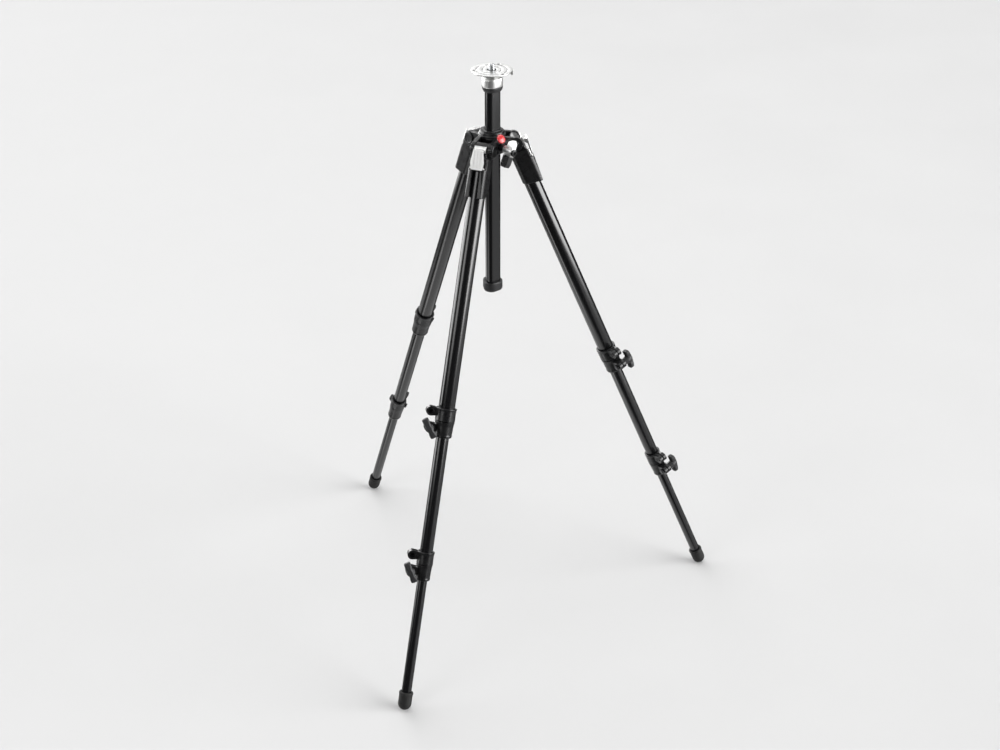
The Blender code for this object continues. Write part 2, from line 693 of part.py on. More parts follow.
def build_centre(paint, centre):
    node("hub_casting", hub_mesh(), paint["black_casting"], centre)
    node("column_bushing", bushing_mesh(), paint["black_plastic"], centre)
    node("badge", badge_mesh(), paint["red_plastic"], centre)
    toward_lock = Matrix.Rotation(LOCK_AZIMUTH, 4, "Z")
    bolt_seat = joint("column_lock_seat", toward_lock, centre)
    node("column_lock_bolt", lock_bolt_mesh(), paint["steel"], bolt_seat)
    lever_seat = toward_lock @ Matrix.Translation((LOCK_REACH, 0.0, LOCK_Z))
    lever = joint("column_lock", lever_seat @ Matrix.Rotation(LOCK_TURN, 4, "X"), centre)
    node("column_lock_lever", lock_lever_mesh(), paint["satin_aluminium"], lever)
    node("column_lock_grip", lock_grip_mesh(), paint["black_plastic"], lever)
    column = joint("column", Matrix.Identity(4), centre)
    node("column_tube", column_tube_mesh(), paint["black_tube"], column)
    node("column_top_ring", top_ring_mesh(), paint["black_plastic"], column)
    node("column_top_collar", top_collar_mesh(), paint["satin_aluminium"], column)
    node("head_plate", head_plate_mesh(), paint["satin_aluminium"], column)
    node("head_stud", stud_mesh(), paint["steel"], column)
    node("column_bottom_cap", bottom_cap_mesh(), paint["black_plastic"], column)


def leg_meshes():
    made = {
        "leg_casting": leg_casting_mesh(),
        "pivot_pin": pivot_pin_mesh(),
        "angle_tab": angle_tab_mesh(),
        "upper_tube": tube_mesh(UPPER_RADIUS, UPPER_TOP, UPPER_END),
        "middle_tube": tube_mesh(MIDDLE_RADIUS, MIDDLE_TOP, MIDDLE_END),
        "lower_tube": tube_mesh(LOWER_RADIUS, LOWER_TOP, LOWER_END),
        "middle_guide": guide_mesh(),
        "foot": foot_mesh(),
        "knob": knob_mesh(),
    }
    for level, big, small in (("upper", UPPER_RADIUS, MIDDLE_RADIUS), ("lower", MIDDLE_RADIUS, LOWER_RADIUS)):
        made[level + "_collar"] = collar_mesh(big, small)
        made[level + "_clamp_screw"] = clamp_screw_mesh(big)
        made[level + "_knob_bolt"] = knob_bolt_mesh(big)
    return made


def build_collar(paint, meshes, leg, level, drop, big, turn, section):
    """Collar, its screw and bolt on a section, and the wing knob on its own joint."""
    seat_place = Matrix.Translation((0.0, 0.0, -drop)) @ Matrix.Rotation(COLLAR_TURN, 4, "Z")
    seat = joint(f"{leg}_{level}_collar", seat_place, section)
    for piece, colour in (("collar", "black_casting"), ("clamp_screw", "steel"), ("knob_bolt", "steel")):
        node(f"{leg}_{level}_{piece}", meshes[f"{level}_{piece}"], paint[colour], seat)
    knob_place = Matrix.Translation((big + EAR_REACH, 0.0, LOWER_EAR_Z)) @ Matrix.Rotation(turn, 4, "Y")
    knob = joint(f"{leg}_{level}_knob", knob_place, seat)
    node(f"{leg}_{level}_knob", meshes["knob"], paint["black_plastic"], knob)


def build_leg(paint, meshes, centre, name, azimuth):
    pin_seat = joint(name + "_pin_seat", leg_matrix(azimuth), centre)
    node(name + "_pivot_pin", meshes["pivot_pin"], paint["steel"], pin_seat)
    leg = joint(name + "_leg", leg_matrix(azimuth), centre)
    node(name + "_leg_casting", meshes["leg_casting"], paint["black_casting"], leg)
    node(name + "_upper_tube", meshes["upper_tube"], paint["black_tube"], leg)
    tab = joint(name + "_angle_tab", Matrix.Translation((TAB_AXIS[0], 0.0, TAB_AXIS[1])), leg)
    node(name + "_angle_tab", meshes["angle_tab"], paint["satin_aluminium"], tab)
    middle = joint(name + "_middle_section", Matrix.Identity(4), leg)
    node(name + "_middle_tube", meshes["middle_tube"], paint["black_tube"], middle)
    node(name + "_middle_guide", meshes["middle_guide"], paint["black_plastic"], middle)
    lower = joint(name + "_lower_section", Matrix.Identity(4), middle)
    node(name + "_lower_tube", meshes["lower_tube"], paint["black_tube"], lower)
    node(name + "_foot", meshes["foot"], paint["rubber"], lower)
    upper_turn, lower_turn = KNOB_TURNS[name]
    build_collar(paint, meshes, name, "upper", UPPER_COLLAR_TOP, UPPER_RADIUS, upper_turn, leg)
    build_collar(paint, meshes, name, "lower", LOWER_COLLAR_TOP, MIDDLE_RADIUS, lower_turn, middle)


def main():
    clear_scene()
    paint = make_materials()
    centre = joint("hub", Matrix.Translation((0.0, COLUMN_Y, PIVOT_HEIGHT)))
    build_centre(paint, centre)
    meshes = leg_meshes()
    for name, azimuth in LEG_AZIMUTHS.items():
        build_leg(paint, meshes, centre, name, azimuth)


main()
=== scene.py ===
"""Looks of the camera tripod: fine meshes, procedural materials, floor, studio light and camera.

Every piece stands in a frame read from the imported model's joints, so that it lies where the CAD node lies.
Lengths are metres. A leg's frame has X outward, Y along the pin and Z up the leg, with its origin on the pin.
"""

import json
from math import atan2, cos, pi, radians, sin

import bmesh
import bpy
from mathutils import Matrix, Vector


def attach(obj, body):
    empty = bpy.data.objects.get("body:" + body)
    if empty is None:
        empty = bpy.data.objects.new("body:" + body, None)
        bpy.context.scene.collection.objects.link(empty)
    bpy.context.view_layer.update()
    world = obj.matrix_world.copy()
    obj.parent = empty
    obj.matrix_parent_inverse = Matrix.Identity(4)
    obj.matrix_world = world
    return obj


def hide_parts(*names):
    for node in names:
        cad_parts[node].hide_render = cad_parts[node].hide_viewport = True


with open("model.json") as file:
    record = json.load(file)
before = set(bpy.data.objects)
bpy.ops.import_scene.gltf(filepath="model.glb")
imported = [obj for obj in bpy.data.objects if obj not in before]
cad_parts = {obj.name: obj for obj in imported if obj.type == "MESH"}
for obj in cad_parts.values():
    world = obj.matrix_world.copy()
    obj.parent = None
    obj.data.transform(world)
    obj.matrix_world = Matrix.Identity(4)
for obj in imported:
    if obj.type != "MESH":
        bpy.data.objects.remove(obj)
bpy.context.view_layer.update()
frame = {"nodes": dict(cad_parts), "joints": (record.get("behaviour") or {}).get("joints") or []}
joints = {joint["name"]: joint for joint in frame["joints"]}

LEGS = ("front", "right", "left")
LEVELS = ("upper", "lower")
GAP = 0.0003

# How far a cutter runs past the piece it cuts
THROUGH = 0.020

# Facets round a turned piece
TUBE_STEPS = 96
ROUND = 72
SMALL_ROUND = 40

# Leg tubes and feet, measured down the leg from its pin
TUBE_RADII = {"upper": 0.0125, "middle": 0.0100, "lower": 0.00775}
TUBE_SPANS = {"upper": (0.0325, 0.4110), "middle": (0.2730, 0.6330), "lower": (0.5130, 0.8580)}
TUBE_WALL = 0.0012
COLLAR_TUBES = {"upper": ("upper", "middle"), "lower": ("middle", "lower")}
FOOT_TOP = 0.8352
FOOT_TIP = 0.8644
FOOT_RADIUS = 0.0105

# Leg castings
KNUCKLE_RADIUS = 0.0100
KNUCKLE_HALF = 0.0102
PIN_RADIUS = 0.0030
PIN_HOLE = PIN_RADIUS + GAP
CASTING_HALF = 0.0146
CASTING_INNER = -0.0140
CASTING_OUTER = 0.0187
CASTING_CORNER = 0.0085
CASTING_END = -0.0720
SHOULDER = -0.0135
EAR_TOP = -0.0265
TAB_FLOOR = -0.0318
CORE_FACE = 0.0130
CHANNEL_HALF = 0.0063

# Angle tab
TAB_AXIS = (0.0151, -0.0285)
TAB_HALF_WIDTHS = ((-0.0310, 0.0090), (-0.0210, 0.0108), (-0.0010, 0.0076))
TAB_THICKNESS = 0.0018
TRUNNION_RADIUS = 0.0012
TRUNNION_HALF = 0.0121
SADDLE_RADII = (0.0115, 0.0134)
SADDLE_HALF = 0.0092
SADDLE_SPAN = (-24, 19)
TAB_BACK_LOW = 0.0155
TAB_BACK_HIGH = 0.0186

# Collars, in their own frame: ears toward +X, bolts along Y, top at Z = 0
COLLAR_LENGTH = 0.0450
COLLAR_STEP = -0.0232
EAR_REACH = 0.0110
EAR_RADIUS = 0.0072
EAR_HALF = 0.0065
UPPER_EAR_Z = -0.0065
LOWER_EAR_Z = -0.0310
BOLT_RADIUS = 0.0025
KNOB_TURNS = {"front": {"upper": 34.0, "lower": 30.0}, "right": {"upper": 4.0, "lower": 8.0},
              "left": {"upper": -20.0, "lower": -35.0}}
KNOB_HALF = 0.0165
KNOB_ROWS = 33

# Hub, heights from the leg pins
PIVOT_RADIUS = 0.0333
LUG_RADIUS = 0.0110
LUG_INNER = 0.0105
LUG_OUTER = 0.0166
LUG_ROOT = 0.0080
HUB_TOP = 0.0190
HUB_BOTTOM = -0.0160
STOP_ANGLES = (0.0, 22.6, 46.0, 66.0)
STOP_LAG = 32.0
NOTCH_HALF = 3.0
NOTCH_DEPTH = 0.0010
LOCK_Z = -0.0020
LOCK_REACH = 0.0410
LOCK_TURN = radians(-22.0)
BADGE_RADIUS = 0.0070
BADGE_TILT = radians(38.0)
BADGE_CENTRE = (0.0205, 0.0098)

# Column, heights from the leg pins
# A rounded triangle's reach is the distance from its middle to the centre of a corner
COLUMN_REACH = 0.00556
COLUMN_RADIUS = 0.0071
COLLAR_REACH = 0.0035
CAP_REACH = 0.0040
COLUMN_WALL = 0.0016
COLUMN_TOP = 0.0993
COLUMN_END = -0.2380
CAP_TOP = -0.2277
CAP_END = -0.2430
RING_LOW = 0.0800
RING_TOP = 0.0871
COLLAR_LOW = 0.0874
COLLAR_TOP = 0.1010
PLATE_LOW = 0.1090
PLATE_TOP = 0.1116
PLATE_RADIUS = 0.0300
PLATE_GROOVES = (0.0228, 0.0138)
SET_SCREW_REACH = 0.0263
STUD_TOP = 0.1200
STUD_RADIUS = 0.00476
STUD_PITCH = 0.00159

PIECE_SUFFIX = "_fine"


# Outlines and rings of points

def softened(points, radius, steps=3, closed=False):
    """Outline with its corners rounded by short curves."""
    made = []
    count = len(points)
    for i, point in enumerate(points):
        if not closed and i in (0, count - 1):
            made.append(tuple(point))
            continue
        corner = Vector(point)
        before = Vector(points[i - 1]) - corner
        after = Vector(points[(i + 1) % count]) - corner
        start = corner + before.normalized() * min(radius, before.length * 0.45)
        end = corner + after.normalized() * min(radius, after.length * 0.45)
        for k in range(steps + 1):
            t = k / steps
            made.append(tuple(start * (1 - t) ** 2 + corner * (2 * t * (1 - t)) + end * t * t))
    return made


def arc(centre, radius, start, end, steps):
    """Points of an arc, both ends included, angles in degrees."""
    angles = [radians(start + (end - start) * i / steps) for i in range(steps + 1)]
    return [(centre[0] + radius * cos(a), centre[1] + radius * sin(a)) for a in angles]


def circle(radius, height, steps):
    """Ring of points round Z; a ring with no radius is a single point."""
    if radius < 1e-7:
        return [(0.0, 0.0, height)]
    angles = [2 * pi * i / steps for i in range(steps)]
    return [(radius * cos(a), radius * sin(a), height) for a in angles]


def triangle(reach, radius, height, steps=16):
    """Rounded triangle with one corner toward each leg, as a ring of points."""
    points = []
    for leg in LEGS:
        azimuth = azimuths[leg]
        for i in range(steps + 1):
            a = azimuth - pi / 3 + 2 * pi / 3 * i / steps
            x = reach * cos(azimuth) + radius * cos(a)
            y = reach * sin(azimuth) + radius * sin(a)
            points.append((x, y, height))
    return points


# Solids, as working objects

def solid(bm):
    """Working object from a bmesh, its faces turned outward."""
    bmesh.ops.recalc_face_normals(bm, faces=bm.faces)
    mesh = bpy.data.meshes.new("solid")
    bm.to_mesh(mesh)
    bm.free()
    obj = bpy.data.objects.new("solid", mesh)
    bpy.context.scene.collection.objects.link(obj)
    return obj


def bridge(bm, first, second):
    """Faces between two rings of points; a ring of one point is a pole."""
    count = max(len(first), len(second))
    for i in range(count):
        j = (i + 1) % count
        corners = [first[i % len(first)], first[j % len(first)],
                   second[j % len(second)], second[i % len(second)]]
        corners = list(dict.fromkeys(corners))
        if len(corners) > 2:
            bm.faces.new(corners)


def loft(rings, closed=False):
    """Body through rings of points. A closed loft joins the last ring to the first, as in a tube."""
    bm = bmesh.new()
    made = [[bm.verts.new(point) for point in ring] for ring in rings]
    for first, second in zip(made, made[1:]):
        bridge(bm, first, second)
    if closed:
        bridge(bm, made[-1], made[0])
    else:
        for ring in (made[0], made[-1]):
            if len(ring) > 2:
                bm.faces.new(ring)
    return solid(bm)


def turned(profile, steps=ROUND, closed=False):
    """Body turned about Z from (radius, height) points."""
    return loft([circle(radius, height, steps) for radius, height in profile], closed)


def triangular(reach, profile, closed=False):
    """Body through rounded triangles, from (corner radius, height) points."""
    return loft([triangle(reach, radius, height) for radius, height in profile], closed)


def rod(radius, low, high, steps=SMALL_ROUND):
    return turned([(radius, low), (radius, high)], steps)


def prism(outline, low, high, across="z"):
    """Outline extruded along one axis; the outline is given in the other two, in alphabetical order."""
    position = "xyz".index(across)
    rings = [[(*point[:position], height, *point[position:]) for point in outline] for height in (low, high)]
    return loft(rings)


def box(low, high):
    outline = [(low[0], low[1]), (high[0], low[1]), (high[0], high[1]), (low[0], high[1])]
    return prism(outline, low[2], high[2])


def evaluated_mesh(obj):
    graph = bpy.context.evaluated_depsgraph_get()
    return bpy.data.meshes.new_from_object(obj.evaluated_get(graph))


def applied(obj):
    """Bake a working object's modifiers into its mesh."""
    mesh = evaluated_mesh(obj)
    obj.modifiers.clear()
    obj.data = mesh
    return obj


def combine(operation, target, others):
    """Boolean of a working object with others, which are used up."""
    for other in others:
        modifier = target.modifiers.new("combine", "BOOLEAN")
        modifier.operation = operation
        modifier.solver = "EXACT"
        modifier.object = other
    applied(target)
    for other in others:
        bpy.data.objects.remove(other)
    return target


def joined(target, *others):
    return combine("UNION", target, others)


def cut(target, *others):
    return combine("DIFFERENCE", target, others)


def common(target, other):
    return combine("INTERSECT", target, [other])


def moved(obj, matrix):
    obj.data.transform(matrix)
    return obj


def shifted(obj, x=0.0, y=0.0, z=0.0):
    return moved(obj, Matrix.Translation((x, y, z)))


def along(obj, axis):
    """Turn a body made along Z so that it lies along X or Y."""
    turn = Matrix.Rotation(pi / 2, 4, "Y") if axis == "x" else Matrix.Rotation(-pi / 2, 4, "X")
    return moved(obj, turn)


def bevelled(obj, width, segments=3, angle=30):
    """Round off the edges sharper than an angle, in degrees."""
    modifier = obj.modifiers.new("bevel", "BEVEL")
    modifier.width = width
    modifier.segments = segments
    modifier.limit_method = "ANGLE"
    modifier.angle_limit = radians(angle)
    return applied(obj)


def cast(obj, grain, rounds, share):
    """Even out a rough solid as casting does: small cells, rounded edges, then fewer faces."""
    even = obj.modifiers.new("even", "REMESH")
    even.mode = "VOXEL"
    even.voxel_size = grain
    soft = obj.modifiers.new("soft", "SMOOTH")
    soft.factor = 0.5
    soft.iterations = rounds
    thin = obj.modifiers.new("thin", "DECIMATE")
    thin.ratio = share
    return applied(obj)


def finished(obj, angle=40):
    """Mesh of a working object, cleaned and shaded; the working object goes."""
    mesh = obj.data
    bm = bmesh.new()
    bm.from_mesh(mesh)
    bmesh.ops.remove_doubles(bm, verts=bm.verts, dist=1e-6)
    bmesh.ops.dissolve_degenerate(bm, edges=bm.edges, dist=1e-6)
    bm.to_mesh(mesh)
    bm.free()
    mesh.shade_smooth()
    mesh.set_sharp_from_angle(angle=radians(angle))
    bpy.data.objects.remove(obj)
    return mesh


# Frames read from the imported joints

def basis(x, y, z, origin):
    """Matrix with these unit axes and this origin."""
    matrix = Matrix((x, y, z)).transposed().to_4x4()
    matrix.translation = origin
    return matrix


def joint_place(name):
    return Vector(joints[name]["pos_m"])


def joint_axis(name):
    return Vector(joints[name]["axis"]).normalized()


def leg_frame(leg):
    up = -joint_axis(leg + "_middle_slide")
    pin = -joint_axis(leg + "_leg_spread")
    return basis(pin.cross(up), pin, up, joint_place(leg + "_leg_spread"))


def tab_frame(leg):
    matrix = leg_frame(leg)
    matrix.translation = joint_place(leg + "_angle_tab_pull")
    return matrix


def collar_frame(leg, level):
    """Collar's frame from its knob's joint, which lies on the lower ears' bolt."""
    up = -joint_axis(leg + "_middle_slide")
    bolt = joint_axis(f"{leg}_{level}_knob_turn")
    out = bolt.cross(up)
    reach = TUBE_RADII[COLLAR_TUBES[level][0]] + EAR_REACH
    origin = joint_place(f"{leg}_{level}_knob_turn") - out * reach - up * LOWER_EAR_Z
    return basis(out, bolt, up, origin)


def knob_frame(leg, level):
    matrix = collar_frame(leg, level)
    matrix.translation = joint_place(f"{leg}_{level}_knob_turn")
    return matrix @ Matrix.Rotation(radians(KNOB_TURNS[leg][level]), 4, "Y")


def lock_frame():
    """Column lock's frame: X along its bolt, away from the column, Z up."""
    out = joint_axis("column_lock_turn")
    up = Vector((0.0, 0.0, 1.0))
    return basis(out, up.cross(out), up, joint_place("column_lock_turn"))


def azimuth_of(direction):
    return atan2(direction.y, direction.x)


pins = [joint_place(leg + "_leg_spread") for leg in LEGS]
centre = sum(pins, Vector()) / len(pins)
hub_frame = Matrix.Translation(centre)
azimuths = {leg: azimuth_of(pin - centre) for leg, pin in zip(LEGS, pins)}
lock_azimuth = azimuth_of(joint_axis("column_lock_turn"))


# Hub

def hub_mesh():
    body = [(0.0, HUB_BOTTOM), (0.0150, HUB_BOTTOM), (0.0184, -0.0140), (0.0188, -0.0050),
            (0.0188, 0.0100)]
    lips = [(0.0204, 0.0120), (0.0204, 0.0142), (0.0188, 0.0152), (0.0188, 0.0172), (0.0176, HUB_TOP)]
    hub = turned(body + lips + [(0.0, HUB_TOP)])
    lugs = []
    cutters = []
    for leg in LEGS:
        turn = Matrix.Rotation(azimuths[leg], 4, "Z")
        for side in (-1, 1):
            faces = sorted((side * LUG_INNER, side * LUG_OUTER))
            lugs.append(moved(prism(lug_outline(), *faces, across="y"), turn))
        hole = along(rod(PIN_HOLE, -THROUGH, THROUGH), "y")
        cutters.append(moved(shifted(hole, x=PIVOT_RADIUS), turn))
    toward_lock = Matrix.Rotation(lock_azimuth, 4, "Z")
    boss_profile = [(0.0, 0.0140), (0.0072, 0.0140), (0.0062, 0.0220), (0.0062, 0.0302),
                    (0.0056, 0.0310), (0.0, 0.0310)]
    lock_boss = moved(shifted(along(turned(boss_profile), "x"), z=LOCK_Z), toward_lock)
    badge_profile = [(0.0, -0.0110), (0.0078, -0.0110), (0.0083, 0.0010), (0.0078, 0.0018), (0.0, 0.0018)]
    badge_boss = moved(turned(badge_profile), badge_matrix())
    hub = joined(hub, *lugs, lock_boss, badge_boss)
    cutters.append(moved(rod(BADGE_RADIUS + GAP, 0.0, 0.0100, ROUND), badge_matrix()))
    cutters.append(moved(shifted(along(rod(0.0033, 0.0100, 0.0400), "x"), z=LOCK_Z), toward_lock))
    bore = COLUMN_RADIUS + 0.0024
    cutters.append(triangular(COLUMN_REACH, [(bore, -0.030), (bore, 0.040)]))
    return finished(cast(cut(hub, *cutters), 0.00032, 2, 0.30))


def lug_outline():
    """Side view of a lug: an arm out to the pin with a round end, notched at each leg angle."""
    rim = []
    edge = -90.0
    for stop in STOP_ANGLES:
        start = stop - STOP_LAG - NOTCH_HALF
        end = stop - STOP_LAG + NOTCH_HALF
        rim += arc((PIVOT_RADIUS, 0.0), LUG_RADIUS, edge, start, 6)
        rim += arc((PIVOT_RADIUS, 0.0), LUG_RADIUS - NOTCH_DEPTH, start, end, 3)
        edge = end
    rim += arc((PIVOT_RADIUS, 0.0), LUG_RADIUS, edge, 105.0, 16)
    return rim + [(0.0190, 0.0122), (LUG_ROOT, 0.0122), (LUG_ROOT, -0.0110)]


def badge_matrix():
    """Frame of the badge: Z points out of the hub, up and away from the column."""
    reach, height = BADGE_CENTRE
    place = Matrix.Rotation(lock_azimuth, 4, "Z") @ Matrix.Translation((reach, 0.0, height))
    return place @ Matrix.Rotation(pi / 2 - BADGE_TILT, 4, "Y")


def badge_mesh():
    """Plain domed cap with a shallow ring round its rim."""
    low = GAP
    rim = softened([(0.0, low), (BADGE_RADIUS, low), (BADGE_RADIUS, 0.0023), (0.0064, 0.0028),
                    (0.0060, 0.0024), (0.0055, 0.0024)], 0.0003)
    crown = [(0.0051 * (1 - i / 6), 0.0026 + 0.0008 * (i / 6) ** 0.6) for i in range(7)]
    return finished(moved(turned(rim + crown), badge_matrix()))


def bushing_mesh():
    """Liner between the hub and the column, with a lip on top of the hub."""
    inner = COLUMN_RADIUS + GAP
    outer = COLUMN_RADIUS + 0.0021
    rest = HUB_TOP + GAP
    top = HUB_TOP + 0.0018
    profile = [(inner, HUB_BOTTOM), (outer, HUB_BOTTOM), (outer, rest), (outer + 0.0011, rest),
               (outer + 0.0011, top), (inner, top)]
    return finished(triangular(COLUMN_REACH, softened(profile, 0.0004, closed=True), True))


def pivot_pin_mesh():
    """Pin with a broad flat cap on one end and a small domed nut on the other."""
    seat = LUG_OUTER + GAP
    nut = [(0.0, -seat - 0.0026), (0.0042, -seat - 0.0026), (0.0048, -seat - 0.0020), (0.0048, -seat)]
    cap = [(0.0097, seat), (0.0098, seat + 0.0012), (0.0092, seat + 0.0018), (0.0066, seat + 0.0018),
           (0.0062, seat + 0.0014), (0.0, seat + 0.0014)]
    profile = nut + [(PIN_RADIUS, -seat), (PIN_RADIUS, seat)] + cap
    return finished(along(turned(softened(profile, 0.0003)), "y"))


def lock_bolt_mesh():
    """Clamp bolt of the column with a domed hexagon-socket head."""
    start = 0.0152 - LOCK_REACH
    seat = 0.0102
    shank = [(0.0, start), (0.0030, start), (0.0030, seat), (0.0052, seat), (0.0052, seat + 0.0020)]
    head = [(0.0044, seat + 0.0026), (0.0028, seat + 0.0028), (0.0, seat + 0.0028)]
    bolt = turned(softened(shank + head, 0.0003))
    socket = rod(0.0022, seat + 0.0010, seat + 0.0060, 6)
    return finished(along(cut(bolt, socket), "x"))


def lock_lever_mesh():
    """Cast lever: short upper wing, a boss round the bolt, and a tang below for the grip."""
    outline = [(-0.0045, -0.0070), (-0.0060, 0.0020), (-0.0030, 0.0130), (0.0050, 0.0175), (0.0090, 0.0130),
               (0.0098, 0.0), (0.0090, -0.0070)]
    wing = prism(outline, -0.0034, 0.0034, across="y")
    boss = along(rod(0.0058, -0.0092, 0.0098, ROUND), "x")
    tang = box((-0.0010, -0.0016, -0.0185), (0.0050, 0.0016, -0.0060))
    dish = along(turned([(0.0, 0.0), (0.0022, 0.0), (0.0016, 0.0008), (0.0, 0.0008)]), "y")
    shifted(dish, 0.0030, 0.0028, 0.0115)
    lever = cut(joined(wing, boss, tang), along(rod(PIN_HOLE, -THROUGH, THROUGH), "x"), dish)
    return finished(cast(lever, 0.00022, 2, 0.35))


def lock_grip_mesh():
    """Moulded grip with shallow finger ribs on both faces."""
    outline = [(-0.0052, -0.0074), (-0.0058, -0.0195), (-0.0038, -0.0243), (0.0056, -0.0243),
               (0.0080, -0.0195), (0.0086, -0.0074)]
    grip = prism(outline, -0.0045, 0.0045, across="y")
    cutters = [box((-0.0013, -0.0019, -0.0188), (0.0053, 0.0019, -0.0060))]
    for i in range(4):
        for side in (-1, 1):
            groove = along(rod(0.0009, -THROUGH, THROUGH), "x")
            cutters.append(shifted(groove, 0.0, side * 0.0050, -0.0112 - 0.0030 * i))
    return finished(cast(cut(grip, *cutters), 0.00024, 3, 0.4))


# Column

def column_tube_mesh():
    """Open tube of rounded triangular section."""
    outer = COLUMN_RADIUS
    inner = outer - COLUMN_WALL
    profile = [(outer, COLUMN_END), (outer, COLUMN_TOP), (inner, COLUMN_TOP), (inner, COLUMN_END)]
    return finished(triangular(COLUMN_REACH, softened(profile, 0.0005, closed=True), True))


def top_ring_mesh():
    """Black ring under the silver collar, bevelled toward the column."""
    profile = [(0.0092, RING_LOW), (0.0106, RING_LOW), (0.0124, RING_LOW + 0.0035),
               (0.0128, RING_TOP - 0.0010), (0.0124, RING_TOP), (0.0092, RING_TOP)]
    return finished(triangular(COLLAR_REACH, softened(profile, 0.0005, closed=True), True))


def top_collar_mesh():
    """Silver block on top of the column, hollow for the tube and bored for the stud."""
    profile = [(0.0124, COLLAR_LOW), (0.0128, COLLAR_LOW + 0.0006), (0.0128, COLLAR_TOP - 0.0018),
               (0.0116, COLLAR_TOP - 0.0002), (0.0108, COLLAR_TOP)]
    body = triangular(COLLAR_REACH, softened(profile, 0.0008))
    bore = COLUMN_RADIUS + GAP
    socket = triangular(COLUMN_REACH, [(bore, COLLAR_LOW - 0.01), (bore, COLUMN_TOP + GAP)])
    return finished(cut(body, socket, rod(STUD_RADIUS + GAP, COLLAR_LOW, COLLAR_TOP + 0.01)))


def head_plate_mesh():
    """Round plate with turned grooves, a neck, three set-screw holes and a down-turned tab."""
    bore = STUD_RADIUS + GAP
    low = COLLAR_TOP + GAP
    neck = [(bore, low), (0.0112, low), (0.0118, low + 0.0045), (0.0145, PLATE_LOW)]
    rim = [(0.0290, PLATE_LOW), (PLATE_RADIUS, PLATE_LOW + 0.0008), (PLATE_RADIUS, PLATE_TOP - 0.0006),
           (0.0294, PLATE_TOP)]
    face = []
    for groove in PLATE_GROOVES:
        face += [(groove + 0.0007, PLATE_TOP), (groove + 0.0004, PLATE_TOP - 0.0009),
                 (groove - 0.0004, PLATE_TOP - 0.0009), (groove - 0.0007, PLATE_TOP)]
    sink = PLATE_TOP - 0.0008
    middle = [(0.0072, PLATE_TOP), (0.0066, sink), (bore, sink)]
    plate = turned(softened(neck + rim + face + middle, 0.0002, 2, closed=True), TUBE_STEPS, closed=True)
    tab = bevelled(box((0.0280, -0.0038, PLATE_LOW - 0.0062), (0.0306, 0.0038, sink)), 0.0006)
    plate = joined(plate, moved(tab, Matrix.Rotation(azimuths["right"], 4, "Z")))
    cutters = []
    for leg in LEGS:
        hole = [(0.0024, PLATE_LOW - 0.01), (0.0024, PLATE_TOP - 0.0005), (0.0029, PLATE_TOP),
                (0.0039, PLATE_TOP + 0.001)]
        cutters.append(moved(turned(hole, 32), set_screw_place(leg)))
    return finished(cut(plate, *cutters))


def set_screw_place(leg):
    """Middle of the set screw that lies past a leg, going round the plate."""
    turn = Matrix.Rotation(azimuths[leg] + pi / 3, 4, "Z")
    return turn @ Matrix.Translation((SET_SCREW_REACH, 0.0, 0.0))


def stud_mesh():
    """Screw stud: a helical thread, a plain foot and a screwdriver slot."""
    low = COLLAR_LOW + 0.006
    depth = 0.00042
    rows = 80
    steps = 64
    rings = [[(0.0, 0.0, low)]]
    for row in range(rows + 1):
        height = low + (STUD_TOP - low) * row / rows
        end = min(1.0, (STUD_TOP - height) / 0.0009)
        ring = []
        for i in range(steps):
            phase = (height / STUD_PITCH - i / steps) % 1.0
            ridge = 1.0 - abs(2.0 * phase - 1.0)
            radius = STUD_RADIUS - depth * (1.0 - ridge) - 0.0006 * (1.0 - end)
            a = 2 * pi * i / steps
            ring.append((radius * cos(a), radius * sin(a), height))
        rings.append(ring)
    rings.append([(0.0, 0.0, STUD_TOP)])
    slot = box((-0.010, -0.0007, STUD_TOP - 0.0020), (0.010, 0.0007, STUD_TOP + 0.005))
    return finished(cut(loft(rings), moved(slot, Matrix.Rotation(radians(-68), 4, "Z"))), 50)


def stud_ring_mesh():
    """Dark washer at the foot of the stud, in the plate's centre recess."""
    low = PLATE_TOP - 0.0007
    inner = STUD_RADIUS + 0.0002
    profile = [(inner, low), (0.0064, low), (0.0064, low + 0.0008), (inner, low + 0.0008)]
    return finished(turned(softened(profile, 0.0002, 2, closed=True), ROUND, closed=True))


def set_screw_mesh():
    """Grub screw in one of the plate's holes, with a hexagon socket."""
    top = PLATE_TOP - 0.0012
    screw = turned(softened([(0.0, PLATE_LOW), (0.0022, PLATE_LOW), (0.0022, top), (0.0, top)], 0.0002))
    return finished(cut(screw, rod(0.0009, top - 0.0012, top + 0.001, 6)))


def bottom_cap_mesh():
    """Cap over the column's lower end."""
    wide = 0.0120
    profile = [(wide - 0.0004, CAP_TOP), (wide, CAP_TOP - 0.0008), (wide, CAP_END + 0.0035),
               (wide - 0.0010, CAP_END + 0.0010), (wide - 0.0028, CAP_END)]
    body = triangular(CAP_REACH, softened(profile, 0.0009, 4))
    bore = COLUMN_RADIUS + GAP
    pocket = triangular(COLUMN_REACH, [(bore, COLUMN_END - GAP), (bore, CAP_TOP + 0.01)])
    return finished(cut(body, pocket))


# Leg casting and angle tab

